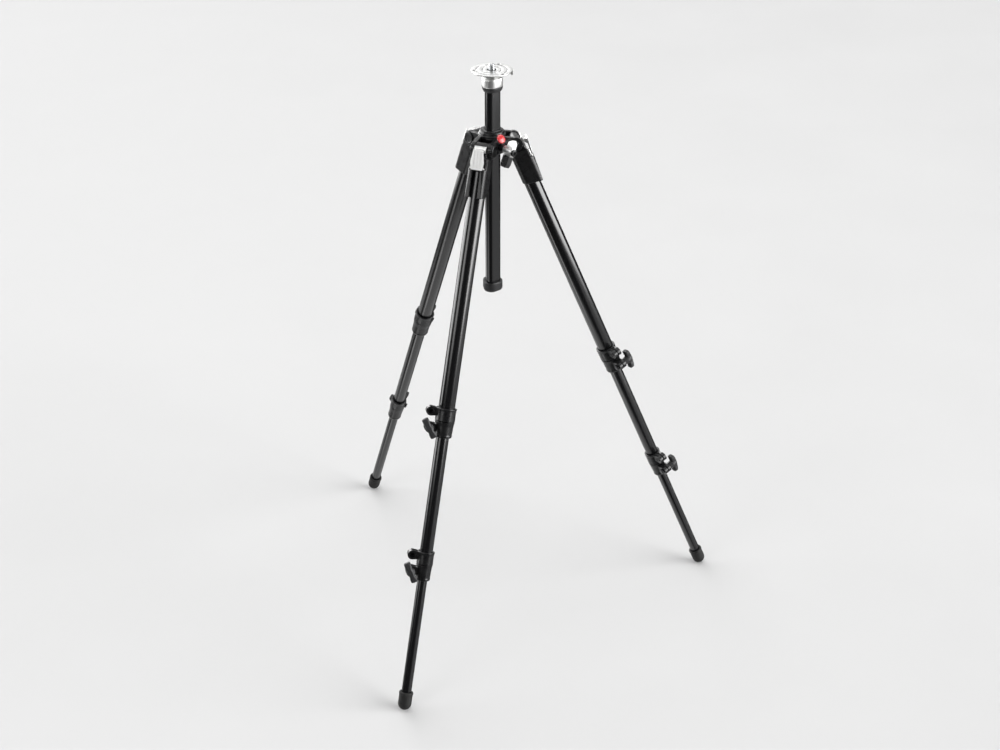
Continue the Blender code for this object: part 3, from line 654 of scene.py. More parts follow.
def leg_casting_mesh():
    """Leg's top casting: knuckle, shoulder, and a socket for the tube with an open channel."""
    side_view = [(-0.0115, SHOULDER), (0.0118, SHOULDER), (CORE_FACE, SHOULDER - 0.0012),
                 (CORE_FACE, EAR_TOP), (CASTING_OUTER - 0.0012, EAR_TOP),
                 (CASTING_OUTER, EAR_TOP - 0.0012), (0.0162, CASTING_END),
                 (CASTING_INNER, CASTING_END + 0.0060), (CASTING_INNER, SHOULDER - 0.0040)]
    body = prism(side_view, -CASTING_HALF - 0.001, CASTING_HALF + 0.001, across="y")
    body = common(body, prism(casting_section(), CASTING_END - 0.01, 0.0))
    knuckle = along(rod(KNUCKLE_RADIUS, -KNUCKLE_HALF, KNUCKLE_HALF, ROUND), "y")
    neck_low = SHOULDER - 0.001
    neck_outline = [(-0.0096, -0.0026), (0.0096, -0.0026), (0.0112, neck_low), (-0.0112, neck_low)]
    body = joined(body, knuckle, prism(neck_outline, -KNUCKLE_HALF, KNUCKLE_HALF, across="y"))
    tube_bore = rod(TUBE_RADII["upper"] + GAP, -0.080, -TUBE_SPANS["upper"][0] + GAP, TUBE_STEPS)
    pin_hole = along(rod(PIN_HOLE, -THROUGH, THROUGH), "y")
    tab_recess = box((CORE_FACE, -0.0111, TAB_FLOOR), (0.030, 0.0111, 0.0))
    channel = box((0.0100, -CHANNEL_HALF, -0.080), (0.030, CHANNEL_HALF, -TUBE_SPANS["upper"][0] + GAP))
    trunnion_hole = along(rod(TRUNNION_RADIUS + GAP, -THROUGH, THROUGH), "y")
    shifted(trunnion_hole, x=TAB_AXIS[0], z=TAB_AXIS[1])
    body = cut(body, tube_bore, pin_hole, tab_recess, trunnion_hole, channel)
    return finished(cast(body, 0.00040, 6, 0.45))


def casting_section():
    """Rounded rectangle across the leg casting."""
    middle_y = CASTING_HALF - CASTING_CORNER
    outer_x = CASTING_OUTER - CASTING_CORNER
    inner_x = CASTING_INNER + CASTING_CORNER
    corners = [(outer_x, middle_y), (inner_x, middle_y), (inner_x, -middle_y), (outer_x, -middle_y)]
    points = []
    for turn, corner in enumerate(corners):
        points += arc(corner, CASTING_CORNER, 90 * turn, 90 * turn + 90, 16)
    return points


def angle_tab_mesh():
    """Release tab, in its own frame with the origin on its trunnions; shallow grooves run up its face."""
    outline = [(half, z) for z, half in TAB_HALF_WIDTHS]
    outline += [(-half, z) for half, z in reversed(outline)]
    plate = prism(outline, 0.0, TAB_THICKNESS, across="x")
    grooves = [shifted(rod(0.0005, -0.0290, -0.0030, 16), TAB_THICKNESS + 0.0003, y)
               for y in (-0.0050, 0.0, 0.0050)]
    plate = moved(cut(plate, *grooves), tab_lean())
    start, end = SADDLE_SPAN
    inside, outside = SADDLE_RADII
    saddle_outline = arc((0.0, 0.0), outside, start, end, 16) + arc((0.0, 0.0), inside, end, start, 16)
    saddle = prism(saddle_outline, -SADDLE_HALF, SADDLE_HALF, across="y")
    web_outline = [(0.0124, -0.0050), (0.0130, 0.0), (0.0194, -0.0040), (0.0184, -0.0125)]
    web = prism(web_outline, -0.0060, 0.0060, across="y")
    barrel = shifted(along(rod(0.0017, -0.0108, 0.0108), "y"), x=TAB_AXIS[0], z=TAB_AXIS[1])
    trunnions = along(rod(TRUNNION_RADIUS, -TRUNNION_HALF, TRUNNION_HALF), "y")
    shifted(trunnions, x=TAB_AXIS[0], z=TAB_AXIS[1])
    tab = cast(joined(plate, saddle, web, barrel, trunnions), 0.00024, 3, 0.35)
    return finished(shifted(tab, x=-TAB_AXIS[0], z=-TAB_AXIS[1]))


def tab_lean():
    """Shear that leans the tab's plate outward from its foot to its top."""
    foot = TAB_HALF_WIDTHS[0][0]
    slope = (TAB_BACK_HIGH - TAB_BACK_LOW) / (TAB_HALF_WIDTHS[-1][0] - foot)
    lean = Matrix.Identity(4)
    lean[0][2] = slope
    lean[0][3] = TAB_BACK_LOW - slope * foot
    return lean


# Collars

def collar_mesh(big, small):
    """Split clamp collar between two tubes, with an upper and a lower pair of ears."""
    wide = big + 0.0027
    slim = small + 0.0031
    rim = [(wide + 0.0004, 0.0), (wide + 0.0004, -0.0020), (wide, -0.0034), (wide, -0.0190)]
    skirt = [(slim + 0.0010, -0.0270), (slim + 0.0004, -0.0400), (slim + 0.0008, -0.0425),
             (slim, -COLLAR_LENGTH)]
    bore = [(small + GAP, -COLLAR_LENGTH), (small + GAP, COLLAR_STEP), (big + GAP, COLLAR_STEP),
            (big + GAP, 0.0)]
    collar = turned(softened(rim + skirt + bore, 0.0006, closed=True), TUBE_STEPS, closed=True)
    reach = big + EAR_REACH
    upper_ear = prism(ear_outline(reach, UPPER_EAR_Z, big + 0.0010), -EAR_HALF, EAR_HALF, across="y")
    lower_ear = prism(ear_outline(reach, LOWER_EAR_Z, small + 0.0010), -EAR_HALF, EAR_HALF, across="y")
    collar = joined(collar, upper_ear, lower_ear)
    oval = prism([(0.0036 * cos(a), 0.0070 * sin(a)) for a in (2 * pi * i / 40 for i in range(40))],
                 -wide - 0.010, -wide + 0.0007, across="x")
    split = box((0.0, -0.0006, -0.060), (0.060, 0.0006, THROUGH))
    level_slot = box((-0.0020, -0.030, -0.0206), (0.060, 0.030, -0.0194))
    bolt_holes = [shifted(along(rod(BOLT_RADIUS + GAP, -THROUGH, THROUGH), "y"), x=reach, z=z)
                  for z in (UPPER_EAR_Z, LOWER_EAR_Z)]
    head_seat = along(rod(0.0046, EAR_HALF - 0.0026, THROUGH), "y")
    shifted(head_seat, x=reach, z=UPPER_EAR_Z)
    nut_seat = along(turned([(0.0054, 0.0), (0.0054, 0.0012)], 6), "y")
    shifted(nut_seat, reach, -EAR_HALF - 0.0004, UPPER_EAR_Z)
    shifted(oval, z=-0.0105)
    collar = cut(collar, split, level_slot, *bolt_holes, head_seat, nut_seat, oval)
    return finished(cast(collar, 0.00032, 4, 0.25))


def ear_outline(reach, height, root):
    """Side view of a clamp ear with a round end, starting inside the collar wall."""
    half = 0.80 * EAR_RADIUS
    return arc((reach, height), EAR_RADIUS, -90, 90, 24) + [(root, height + half), (root, height - half)]


def clamp_screw_mesh(big):
    """Socket screw of the upper ears, its head sunk in the ear."""
    seat = EAR_HALF - 0.0026 + GAP
    top = seat + 0.0024
    profile = [(0.0, -EAR_HALF), (BOLT_RADIUS, -EAR_HALF), (BOLT_RADIUS, seat), (0.0042, seat),
               (0.0042, top), (0.0, top)]
    screw = cut(turned(softened(profile, 0.0003), SMALL_ROUND), rod(0.0022, seat + 0.0006, top + 0.002, 6))
    return finished(shifted(along(screw, "y"), x=big + EAR_REACH, z=UPPER_EAR_Z))


def knob_bolt_mesh(big):
    """Bolt of the lower ears, with a chamfered hexagon head."""
    low = -EAR_HALF - GAP - 0.0034
    head = turned([(0.0040, low), (0.0046, low + 0.0005), (0.0046, -EAR_HALF - GAP)], 6)
    shank = rod(BOLT_RADIUS, -EAR_HALF - 0.0010, 0.0190)
    bolt = bevelled(joined(head, shank), 0.0002, 2)
    return finished(shifted(along(bolt, "y"), x=big + EAR_REACH, z=LOWER_EAR_Z))


def knob_mesh():
    """Wing knob about Y: a stem that grows into two rounded, ribbed wings along Z."""
    shares = [2 * row / (KNOB_ROWS - 1) - 1 for row in range(KNOB_ROWS)]
    wing = loft([wing_ring(abs(share), KNOB_HALF * share) for share in shares])
    foot = EAR_HALF + 0.0004
    stem = [(0.0, foot), (0.0048, foot), (0.0053, foot + 0.0010), (0.0066, 0.0138), (0.0066, 0.0190),
            (0.0, 0.0200)]
    neck = along(turned(softened(stem, 0.0006)), "y")
    cutters = [along(rod(BOLT_RADIUS + GAP, 0.0, 0.0193), "y")]
    for end in (-1, 1):
        for k in range(3):
            for side in (-1, 1):
                groove = along(rod(0.0006, 0.0120, 0.0240, 16), "y")
                cutters.append(shifted(groove, side * 0.0057, 0.0, end * (0.0088 + 0.0024 * k)))
    return finished(cast(cut(joined(wing, neck), *cutters), 0.00028, 3, 0.35))


def wing_ring(share, z):
    """Rounded section of the knob at a height: waisted beside the stem, full at the wing tips."""
    taper = max(0.0, (share - 0.90) / 0.10)
    half = 0.0052 - 0.0008 * sin(pi * min(1.0, share / 0.62)) - 0.0016 * taper * taper
    inner = 0.0130 + 0.0012 * (1 - share) + 0.0008 * taper * taper
    outer = 0.0232 - 0.0030 * share * share - 0.0012 * taper * taper
    middle_y = (inner + outer) / 2
    half_y = (outer - inner) / 2
    corner = min(half, half_y) * 0.65
    points = []
    for turn, (side_x, side_y) in enumerate(((1, 1), (-1, 1), (-1, -1), (1, -1))):
        centre_point = (side_x * (half - corner), middle_y + side_y * (half_y - corner))
        points += [(x, y, z) for x, y in arc(centre_point, corner, 90 * turn, 90 * turn + 90, 6)]
    return points


# Tubes and feet

def tube_mesh(section):
    """One leg tube, open at both ends."""
    radius = TUBE_RADII[section]
    top, end = TUBE_SPANS[section]
    profile = [(radius, -end), (radius, -top), (radius - TUBE_WALL, -top), (radius - TUBE_WALL, -end)]
    return finished(turned(softened(profile, 0.0004, closed=True), TUBE_STEPS, closed=True))


def foot_mesh():
    """Rubber foot: a lip, a shallow waist and a domed tread."""
    bore = TUBE_RADII["lower"] + GAP
    top = -FOOT_TOP
    floor_z = -TUBE_SPANS["lower"][1] - GAP
    lip = FOOT_RADIUS + 0.0006
    dome = [(0.0, -FOOT_TIP)] + arc((0.0, -FOOT_TIP + FOOT_RADIUS), FOOT_RADIUS, -84, 0, 14)
    rim = softened([dome[-1], (FOOT_RADIUS, top - 0.0045), (lip, top - 0.0035), (lip, top - 0.0012),
                    (FOOT_RADIUS - 0.0004, top), (bore, top), (bore, floor_z)], 0.0005)
    return finished(turned(dome + rim[1:] + [(0.0, floor_z)]))


# Materials

def material_with(name, colour, **sockets):
    """Material whose plain numbers sit on the shader's own sockets."""
    material = bpy.data.materials.new(name)
    material.use_nodes = True
    shader = material.node_tree.nodes["Principled BSDF"]
    shader.inputs["Base Color"].default_value = (*colour, 1.0)
    for socket, value in sockets.items():
        shader.inputs[socket.replace("_", " ")].default_value = value
    return material


def noise(material, cell, detail=3.0, stretch=(1.0, 1.0, 1.0)):
    """Noise over the piece's own coordinates; cell is the size of its grains in metres."""
    tree = material.node_tree
    coordinates = tree.nodes.new("ShaderNodeTexCoord")
    mapping = tree.nodes.new("ShaderNodeMapping")
    mapping.inputs["Scale"].default_value = [1.0 / (cell * factor) for factor in stretch]
    texture = tree.nodes.new("ShaderNodeTexNoise")
    texture.inputs["Scale"].default_value = 1.0
    texture.inputs["Detail"].default_value = detail
    tree.links.new(coordinates.outputs["Object"], mapping.inputs["Vector"])
    tree.links.new(mapping.outputs["Vector"], texture.inputs["Vector"])
    return texture.outputs["Fac"]


def rings_round(material, pitch, distortion=0.4):
    """Fine lathe rings round Z, from the distance to the axis."""
    tree = material.node_tree
    coordinates = tree.nodes.new("ShaderNodeTexCoord")
    wave = tree.nodes.new("ShaderNodeTexWave")
    wave.wave_type = "RINGS"
    wave.rings_direction = "Z"
    wave.inputs["Scale"].default_value = 0.31 / pitch
    wave.inputs["Distortion"].default_value = distortion
    wave.inputs["Detail"].default_value = 2.0
    wave.inputs["Detail Scale"].default_value = 2.0
    tree.links.new(coordinates.outputs["Object"], wave.inputs["Vector"])
    return wave.outputs["Fac"]


def calculated(material, operation, first, second):
    """Math node; first and second are sockets or numbers."""
    node = material.node_tree.nodes.new("ShaderNodeMath")
    node.operation = operation
    for socket, value in zip(node.inputs, (first, second)):
        if isinstance(value, (int, float)):
            socket.default_value = value
        else:
            material.node_tree.links.new(value, socket)
    return node.outputs["Value"]


def ranged(material, source, low, high, start=0.3, end=0.7):
    """Source between start and end, spread over low to high."""
    node = material.node_tree.nodes.new("ShaderNodeMapRange")
    for socket, value in (("From Min", start), ("From Max", end), ("To Min", low), ("To Max", high)):
        node.inputs[socket].default_value = value
    material.node_tree.links.new(source, node.inputs["Value"])
    return node.outputs["Result"]


def mixed(material, factor, first, second):
    """Colour between two colours or sockets."""
    node = material.node_tree.nodes.new("ShaderNodeMix")
    node.data_type = "RGBA"
    links = material.node_tree.links
    links.new(factor, node.inputs["Factor"])
    colour_inputs = [socket for socket in node.inputs if socket.type == "RGBA"]
    for socket, value in zip(colour_inputs, (first, second)):
        if isinstance(value, tuple):
            socket.default_value = (*value, 1.0)
        else:
            links.new(value, socket)
    return next(socket for socket in node.outputs if socket.type == "RGBA")


def toned(material, source, dark, light):
    """Colour that drifts between two tones."""
    return mixed(material, ranged(material, source, 0.0, 1.0), dark, light)


def roughened(material, broad, low, high, fine, extra):
    """Roughness that drifts between two values, plus a little from a finer pattern."""
    return calculated(material, "ADD", ranged(material, broad, low, high), ranged(material, fine, 0.0, extra))


def edge_wear_and_highlight(material, plain, bare_and_highlight, patch, share):
    """Plain colour, lighter along edges toward a second colour: a painted edge highlight that also stands for
    wear from rubbing.
    """
    worn_and_lit = calculated(material, "MULTIPLY", edges(material, patch), share)
    return mixed(material, worn_and_lit, plain, bare_and_highlight)


def edges(material, patch):
    """Where edges stand out, for a painted edge highlight that also stands for wear from rubbing, broken up
    by noise.
    """
    tree = material.node_tree
    geometry = tree.nodes.new("ShaderNodeNewGeometry")
    worn_and_lit = ranged(material, geometry.outputs["Pointiness"], 0.0, 1.0, 0.53, 0.60)
    broken = ranged(material, noise(material, patch, 4.0), 0.0, 1.0, 0.38, 0.62)
    return calculated(material, "MULTIPLY", worn_and_lit, broken)


def finish(material, colour, roughness, pattern=None, depth=0.0):
    """Link colour and roughness to the shader, with fine relief from a pattern, its depth in metres."""
    links = material.node_tree.links
    shader = material.node_tree.nodes["Principled BSDF"]
    links.new(colour, shader.inputs["Base Color"])
    links.new(roughness, shader.inputs["Roughness"])
    if pattern is not None:
        bump = material.node_tree.nodes.new("ShaderNodeBump")
        bump.inputs["Strength"].default_value = 1.0
        bump.inputs["Distance"].default_value = depth
        links.new(pattern, bump.inputs["Height"])
        links.new(bump.outputs["Normal"], shader.inputs["Normal"])
    return material


def anodised_tube():
    """Black anodised drawn tube: lengthwise die lines, faint tone changes and handling marks."""
    base = (0.005, 0.005, 0.005)
    material = material_with("tube_black", base, Specular_IOR_Level=0.75)
    lines = noise(material, 0.00022, 2.0, (1.0, 1.0, 400.0))
    tone = noise(material, 0.030, 4.0, (1.0, 1.0, 5.0))
    colour = toned(material, lines, (0.0035, 0.0035, 0.0040), (0.0060, 0.0060, 0.0065))
    roughness = roughened(material, tone, 0.15, 0.21, lines, 0.04)
    return finish(material, colour, roughness, lines, 0.000006)


def painted_casting():
    """Satin black paint on die castings: fine grain, and edges painted lighter as a painted highlight that
    also stands for soft rubbing.
    """
    base = (0.008, 0.008, 0.008)
    material = material_with("casting_black", base, Specular_IOR_Level=0.45)
    grain = noise(material, 0.00035, 3.0)
    tone = noise(material, 0.012, 4.0)
    plain = toned(material, tone, (0.0055, 0.0055, 0.0060), (0.0095, 0.0095, 0.0100))
    # Edges painted lighter: a painted highlight along the edges, also standing for wear from rubbing.
    colour = edge_wear_and_highlight(material, plain, (0.16, 0.16, 0.165), 0.004, 0.35)
    roughness = roughened(material, tone, 0.22, 0.30, grain, 0.05)
    return finish(material, colour, roughness, grain, 0.000012)


def painted_groove_shade(material):
    """Mask of painted shade: one in the plate's turned grooves and in the recess at its stud, nothing
    elsewhere.
    """
    tree = material.node_tree
    coordinates = tree.nodes.new("ShaderNodeTexCoord")
    flat = tree.nodes.new("ShaderNodeVectorMath")
    flat.operation = "MULTIPLY"
    flat.inputs[1].default_value = (1.0, 1.0, 0.0)
    length = tree.nodes.new("ShaderNodeVectorMath")
    length.operation = "LENGTH"
    tree.links.new(coordinates.outputs["Object"], flat.inputs[0])
    tree.links.new(flat.outputs["Vector"], length.inputs[0])
    radius = length.outputs["Value"]
    mask = ranged(material, radius, 1.0, 0.0, 0.0070, 0.0074)
    for groove in PLATE_GROOVES:
        distance = calculated(material, "ABSOLUTE", calculated(material, "SUBTRACT", radius, groove), 0.0)
        mask = calculated(material, "MAXIMUM", mask, ranged(material, distance, 1.0, 0.0, 0.0005, 0.0008))
    return mask


def satin_aluminium(name, turned_with_groove_shade):
    """Clear-anodised aluminium: turned rings on the plate, or the fine peened grain of a casting. Edges are
    painted lighter, a painted highlight that also stands for wear, and on the plate the grooves and the
    recess at the stud are painted dark as painted shade.
    """
    material = material_with(name, (0.78, 0.78, 0.77), Metallic=1.0)
    tone = noise(material, 0.010, 3.0)
    marks = rings_round(material, 0.00035) if turned_with_groove_shade else noise(material, 0.00025, 3.0)
    plain = toned(material, tone, (0.72, 0.72, 0.71), (0.84, 0.84, 0.83))
    # Edges painted lighter: a painted highlight along the edges, also standing for wear.
    colour = edge_wear_and_highlight(material, plain, (0.93, 0.93, 0.92), 0.003, 0.5)
    # Painted shade: the plate's grooves and the recess round its stud are painted dark.
    if turned_with_groove_shade:
        colour = mixed(material, painted_groove_shade(material), colour, (0.10, 0.10, 0.10))
    low, high = (0.26, 0.34) if turned_with_groove_shade else (0.36, 0.44)
    roughness = roughened(material, tone, low, high, marks, 0.05)
    return finish(material, colour, roughness, marks, 0.000006)


def plated_steel(name, dark, light):
    """Plated steel fasteners: fine grain and slight clouding between two tones."""
    material = material_with(name, light, Metallic=1.0)
    grain = noise(material, 0.00030, 3.0)
    tone = noise(material, 0.003, 3.0)
    colour = toned(material, tone, dark, light)
    roughness = roughened(material, tone, 0.22, 0.34, grain, 0.06)
    return finish(material, colour, roughness, grain, 0.000006)


def moulded_plastic():
    """Glass-filled black plastic: spark-eroded grain and faint flow marks."""
    base = (0.012, 0.012, 0.013)
    material = material_with("plastic_black", base, Specular_IOR_Level=0.50)
    grain = noise(material, 0.00030, 2.0)
    flow = noise(material, 0.008, 4.0)
    plain = toned(material, flow, (0.009, 0.009, 0.010), (0.018, 0.018, 0.019))
    # Edges painted lighter: a painted highlight along the edges, also standing for wear from rubbing.
    colour = edge_wear_and_highlight(material, plain, (0.07, 0.07, 0.072), 0.003, 0.25)
    roughness = roughened(material, flow, 0.42, 0.52, grain, 0.08)
    return finish(material, colour, roughness, grain, 0.000015)


def foot_rubber():
    """Matt rubber: soft mottling, dust held in the grain."""
    base = (0.010, 0.010, 0.010)
    material = material_with("rubber_black", base, Specular_IOR_Level=0.35)
    grain = noise(material, 0.00040, 3.0)
    dust = noise(material, 0.006, 5.0)
    colour = toned(material, dust, (0.007, 0.007, 0.007), (0.018, 0.018, 0.017))
    roughness = roughened(material, dust, 0.58, 0.72, grain, 0.10)
    return finish(material, colour, roughness, grain, 0.000025)


def red_cap():
    """Glossy red moulded cap."""
    base = (0.50, 0.012, 0.016)
    material = material_with("badge_red", base, Coat_Weight=0.5, Coat_Roughness=0.15)
    tone = noise(material, 0.0025, 3.0)
    grain = noise(material, 0.00025, 2.0)
    colour = toned(material, tone, (0.44, 0.008, 0.012), (0.58, 0.018, 0.022))
    roughness = ranged(material, tone, 0.26, 0.38)
    return finish(material, colour, roughness, grain, 0.000006)


# Placing

def place(name, mesh, matrix, body, material, slot, *nodes):
    """Piece on its body, in place of CAD nodes."""
    obj = bpy.data.objects.new(name, mesh)
    obj.data.materials.clear()
    obj.data.materials.append(material)
    bpy.context.scene.collection.objects.link(obj)
    obj.matrix_world = matrix
    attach(obj, body)
    if nodes:
        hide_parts(*nodes)
    return obj


def stand_for(node, mesh, matrix, body, paint, slot):
    """Fine piece in place of the CAD node of the same name."""
    return place(node + PIECE_SUFFIX, mesh, matrix, body, paint, slot, node)


paints = {
    "tube_black": anodised_tube(),
    "casting_black": painted_casting(),
    "aluminium_satin": satin_aluminium("aluminium_satin", False),
    "aluminium_turned": satin_aluminium("aluminium_turned", True),
    "steel": plated_steel("steel", (0.36, 0.37, 0.38), (0.50, 0.51, 0.52)),
    "steel_dull": plated_steel("steel_dull", (0.045, 0.046, 0.047), (0.065, 0.066, 0.067)),
    "steel_blackened": plated_steel("steel_blackened", (0.020, 0.020, 0.021), (0.040, 0.040, 0.042)),
    "plastic_black": moulded_plastic(),
    "rubber_black": foot_rubber(),
    "badge_red": red_cap(),
}


def build_centre():
    def add(node, mesh, body, slot, matrix=hub_frame, paint=None):
        stand_for(node, mesh, matrix, body, paints[paint or slot], slot)

    add("hub_casting", hub_mesh(), "hub", "casting_black")
    add("column_bushing", bushing_mesh(), "hub", "plastic_black")
    add("badge", badge_mesh(), "hub", "badge_red")
    bolt = lock_frame()
    lever = bolt @ Matrix.Rotation(LOCK_TURN, 4, "X")
    add("column_lock_bolt", lock_bolt_mesh(), "hub", "steel", bolt, "steel_dull")
    add("column_lock_lever", lock_lever_mesh(), "column_lock", "aluminium_satin", lever)
    add("column_lock_grip", lock_grip_mesh(), "column_lock", "plastic_black", lever)
    add("column_tube", column_tube_mesh(), "column", "tube_black")
    add("column_top_ring", top_ring_mesh(), "column", "plastic_black")
    add("column_top_collar", top_collar_mesh(), "column", "aluminium_satin")
    add("head_plate", head_plate_mesh(), "column", "aluminium_satin", paint="aluminium_turned")
    add("head_stud", stud_mesh(), "column", "steel")
    add("column_bottom_cap", bottom_cap_mesh(), "column", "plastic_black")
    place("head_stud_ring", stud_ring_mesh(), hub_frame, "column", paints["plastic_black"], "plastic_black")
    screw = set_screw_mesh()
    for leg in LEGS:
        place("set_screw_by_" + leg, screw, hub_frame @ set_screw_place(leg), "column",
              paints["plastic_black"], "plastic_black")


def leg_meshes():
    made = {
        "pivot_pin": pivot_pin_mesh(),
        "leg_casting": leg_casting_mesh(),
        "angle_tab": angle_tab_mesh(),
        "foot": foot_mesh(),
        "knob": knob_mesh(),
    }
    for section in TUBE_RADII:
        made[section + "_tube"] = tube_mesh(section)
    for level, (big, small) in COLLAR_TUBES.items():
        made[level + "_collar"] = collar_mesh(TUBE_RADII[big], TUBE_RADII[small])
        made[level + "_clamp_screw"] = clamp_screw_mesh(TUBE_RADII[big])
        made[level + "_knob_bolt"] = knob_bolt_mesh(TUBE_RADII[big])
    return made


def build_leg(leg, meshes):
    def add(node, mesh, body, slot, matrix, paint=None):
        stand_for(f"{leg}_{node}", meshes[mesh], matrix, body, paints[paint or slot], slot)

    matrix = leg_frame(leg)
    add("pivot_pin", "pivot_pin", "hub", "steel", matrix, "steel_dull")
    add("leg_casting", "leg_casting", leg + "_leg", "casting_black", matrix)
    add("upper_tube", "upper_tube", leg + "_leg", "tube_black", matrix)
    add("angle_tab", "angle_tab", leg + "_angle_tab", "aluminium_satin", tab_frame(leg))
    add("middle_tube", "middle_tube", leg + "_middle", "tube_black", matrix)
    add("lower_tube", "lower_tube", leg + "_lower", "tube_black", matrix)
    add("foot", "foot", leg + "_lower", "rubber_black", matrix)
    for level, body in (("upper", leg + "_leg"), ("lower", leg + "_middle")):
        seat = collar_frame(leg, level)
        add(level + "_collar", level + "_collar", body, "casting_black", seat)
        add(level + "_clamp_screw", level + "_clamp_screw", body, "steel", seat, "steel_blackened")
        add(level + "_knob_bolt", level + "_knob_bolt", body, "steel", seat, "steel_blackened")
        add(level + "_knob", "knob", f"{leg}_{level}_knob", "plastic_black", knob_frame(leg, level))


build_centre()
shared = leg_meshes()
for leg_name in LEGS:
    build_leg(leg_name, shared)

for name, obj in frame["nodes"].items():
    if not obj.hide_render:
        obj.data.materials.clear()
        obj.data.materials.append(paints["plastic_black"])


# Floor, light and camera

FLOOR_HALF = 30.0
FLOOR_HEIGHT = -0.0002
FLOOR_TONE = (0.58, 0.58, 0.58)
FLOOR_DARK = (0.572, 0.572, 0.572)
FLOOR_LIGHT = (0.588, 0.588, 0.588)
BACKGROUND = (0.80, 0.80, 0.80)


def floor_material():
    material = material_with("floor", FLOOR_TONE, Specular_IOR_Level=0.2)
    tone = noise(material, 0.4, 3.0)
    colour = toned(material, tone, FLOOR_DARK, FLOOR_LIGHT)
    return finish(material, colour, ranged(material, tone, 0.70, 0.80))


def build_floor():
    bm = bmesh.new()
    corners = [(-1, -1), (1, -1), (1, 1), (-1, 1)]
    bm.faces.new([bm.verts.new((x * FLOOR_HALF, y * FLOOR_HALF, FLOOR_HEIGHT)) for x, y in corners])
    mesh = bpy.data.meshes.new("floor")
    bm.to_mesh(mesh)
    bm.free()
    mesh.materials.append(floor_material())
    obj = bpy.data.objects.new("floor", mesh)
    bpy.context.scene.collection.objects.link(obj)
    obj.visible_glossy = False


# Light panels of the studio, as seen from the tripod
# Each is an azimuth, half width, elevation and half height in degrees, then a brightness
PANELS = (
    (162.0, 42.0, 10.0, 23.0, 5.0),
    (8.0, 25.0, 16.0, 22.0, 9.0),
    (-113.0, 13.0, 24.0, 16.0, 3.2),
    (112.0, 42.0, 25.0, 20.0, 0.9),
    (0.0, 180.0, 75.0, 20.0, 0.9),
    (10.0, 42.0, -26.0, 17.0, 0.5),
    (-127.0, 9.0, -42.0, 14.0, 2.6),
    (150.0, 45.0, -38.0, 14.0, 0.8),
    (0.0, 180.0, -70.0, 22.0, 0.9),
)
PANEL_EDGE = radians(3.0)
SURROUNDINGS = 0.03


def build_world():
    """Dark surroundings with soft panels of light; the camera itself sees them plain."""
    world = bpy.data.worlds.new("studio")
    world.use_nodes = True
    nodes = world.node_tree.nodes
    links = world.node_tree.links
    coordinates = nodes.new("ShaderNodeTexCoord")
    split = nodes.new("ShaderNodeSeparateXYZ")
    links.new(coordinates.outputs["Generated"], split.inputs["Vector"])
    azimuth = calculated(world, "ARCTAN2", split.outputs["Y"], split.outputs["X"])
    elevation = calculated(world, "ARCSINE", split.outputs["Z"], 0.0)
    total = SURROUNDINGS
    for turn, half_width, height, half_height, brightness in PANELS:
        across = nodes.new("ShaderNodeMath")
        across.operation = "WRAP"
        links.new(calculated(world, "SUBTRACT", azimuth, radians(turn)), across.inputs[0])
        across.inputs[1].default_value = pi
        across.inputs[2].default_value = -pi
        along_it = calculated(world, "SUBTRACT", elevation, radians(height))
        wide = faded(world, across.outputs["Value"], radians(half_width))
        tall = faded(world, along_it, radians(half_height))
        lit = calculated(world, "MULTIPLY", calculated(world, "MULTIPLY", wide, tall), brightness)
        total = calculated(world, "ADD", lit, total)
    links.new(total, nodes["Background"].inputs["Color"])
    plain = nodes.new("ShaderNodeBackground")
    plain.inputs["Color"].default_value = (*BACKGROUND, 1.0)
    path = nodes.new("ShaderNodeLightPath")
    mix = nodes.new("ShaderNodeMixShader")
    links.new(path.outputs["Is Camera Ray"], mix.inputs["Fac"])
    links.new(nodes["Background"].outputs["Background"], mix.inputs[1])
    links.new(plain.outputs["Background"], mix.inputs[2])
    links.new(mix.outputs["Shader"], nodes["World Output"].inputs["Surface"])
    bpy.context.scene.world = world


def faded(world, offset, half):
    """One within half of the middle of a panel, with a soft edge."""
    distance = calculated(world, "ABSOLUTE", offset, 0.0)
    return ranged(world, distance, 1.0, 0.0, half - PANEL_EDGE, half + PANEL_EDGE)


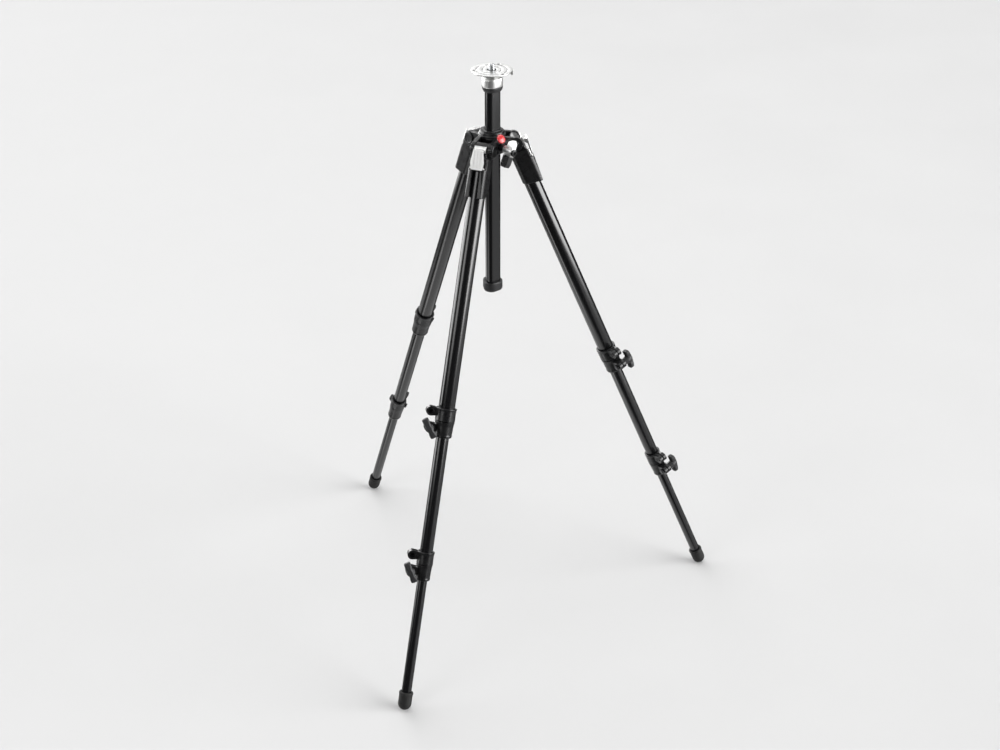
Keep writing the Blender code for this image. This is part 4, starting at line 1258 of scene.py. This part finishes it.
SOFTBOX_AZIMUTH = radians(90.0)
SOFTBOX_ELEVATION = radians(75.0)
SOFTBOX_DISTANCE = 3.0
SOFTBOX_SIZE = 2.4
SOFTBOX_POWER = 15.0
SOFTBOX_TARGET = Vector((0.0, centre.y, 0.45))


def build_softbox():
    """Area light high over the tripod, facing its middle."""
    light = bpy.data.lights.new("top_softbox", "AREA")
    light.shape = "RECTANGLE"
    light.size = SOFTBOX_SIZE
    light.size_y = SOFTBOX_SIZE
    light.energy = SOFTBOX_POWER
    obj = bpy.data.objects.new("top_softbox", light)
    bpy.context.scene.collection.objects.link(obj)
    a, e = SOFTBOX_AZIMUTH, SOFTBOX_ELEVATION
    direction = Vector((cos(a) * cos(e), sin(a) * cos(e), sin(e)))
    obj.location = SOFTBOX_TARGET + direction * SOFTBOX_DISTANCE
    obj.rotation_mode = "QUATERNION"
    obj.rotation_quaternion = direction.to_track_quat("Z", "Y")


CAMERA_LENS = 59.6
CAMERA_AZIMUTH = radians(22.19)
CAMERA_REACH = 2.3116
CAMERA_RISE = 0.8230
APEX_RISE = 0.0800

# Last small turns of the camera about its own axes, in degrees
CAMERA_YAW = -0.263
CAMERA_PITCH = -9.76
CAMERA_ROLL = -0.10


def build_camera():
    """Camera aimed a little below the point where the legs' axes meet the column's."""
    apex = centre + Vector((0.0, 0.0, APEX_RISE))
    out = Vector((sin(CAMERA_AZIMUTH) * CAMERA_REACH, -cos(CAMERA_AZIMUTH) * CAMERA_REACH, CAMERA_RISE))
    data = bpy.data.cameras.new("camera")
    data.lens = CAMERA_LENS
    camera = bpy.data.objects.new("camera", data)
    bpy.context.scene.collection.objects.link(camera)
    forward = -out.normalized()
    right = forward.cross(Vector((0.0, 0.0, 1.0))).normalized()
    up = right.cross(forward)
    look = basis(right, up, -forward, apex + out)
    yaw = Matrix.Rotation(radians(CAMERA_YAW), 4, "Y")
    pitch = Matrix.Rotation(radians(CAMERA_PITCH), 4, "X")
    roll = Matrix.Rotation(radians(CAMERA_ROLL), 4, "Z")
    camera.matrix_world = look @ yaw @ pitch @ roll
    bpy.context.scene.camera = camera


bpy.context.scene.view_settings.view_transform = "Standard"
build_floor()
build_world()
build_softbox()
build_camera()
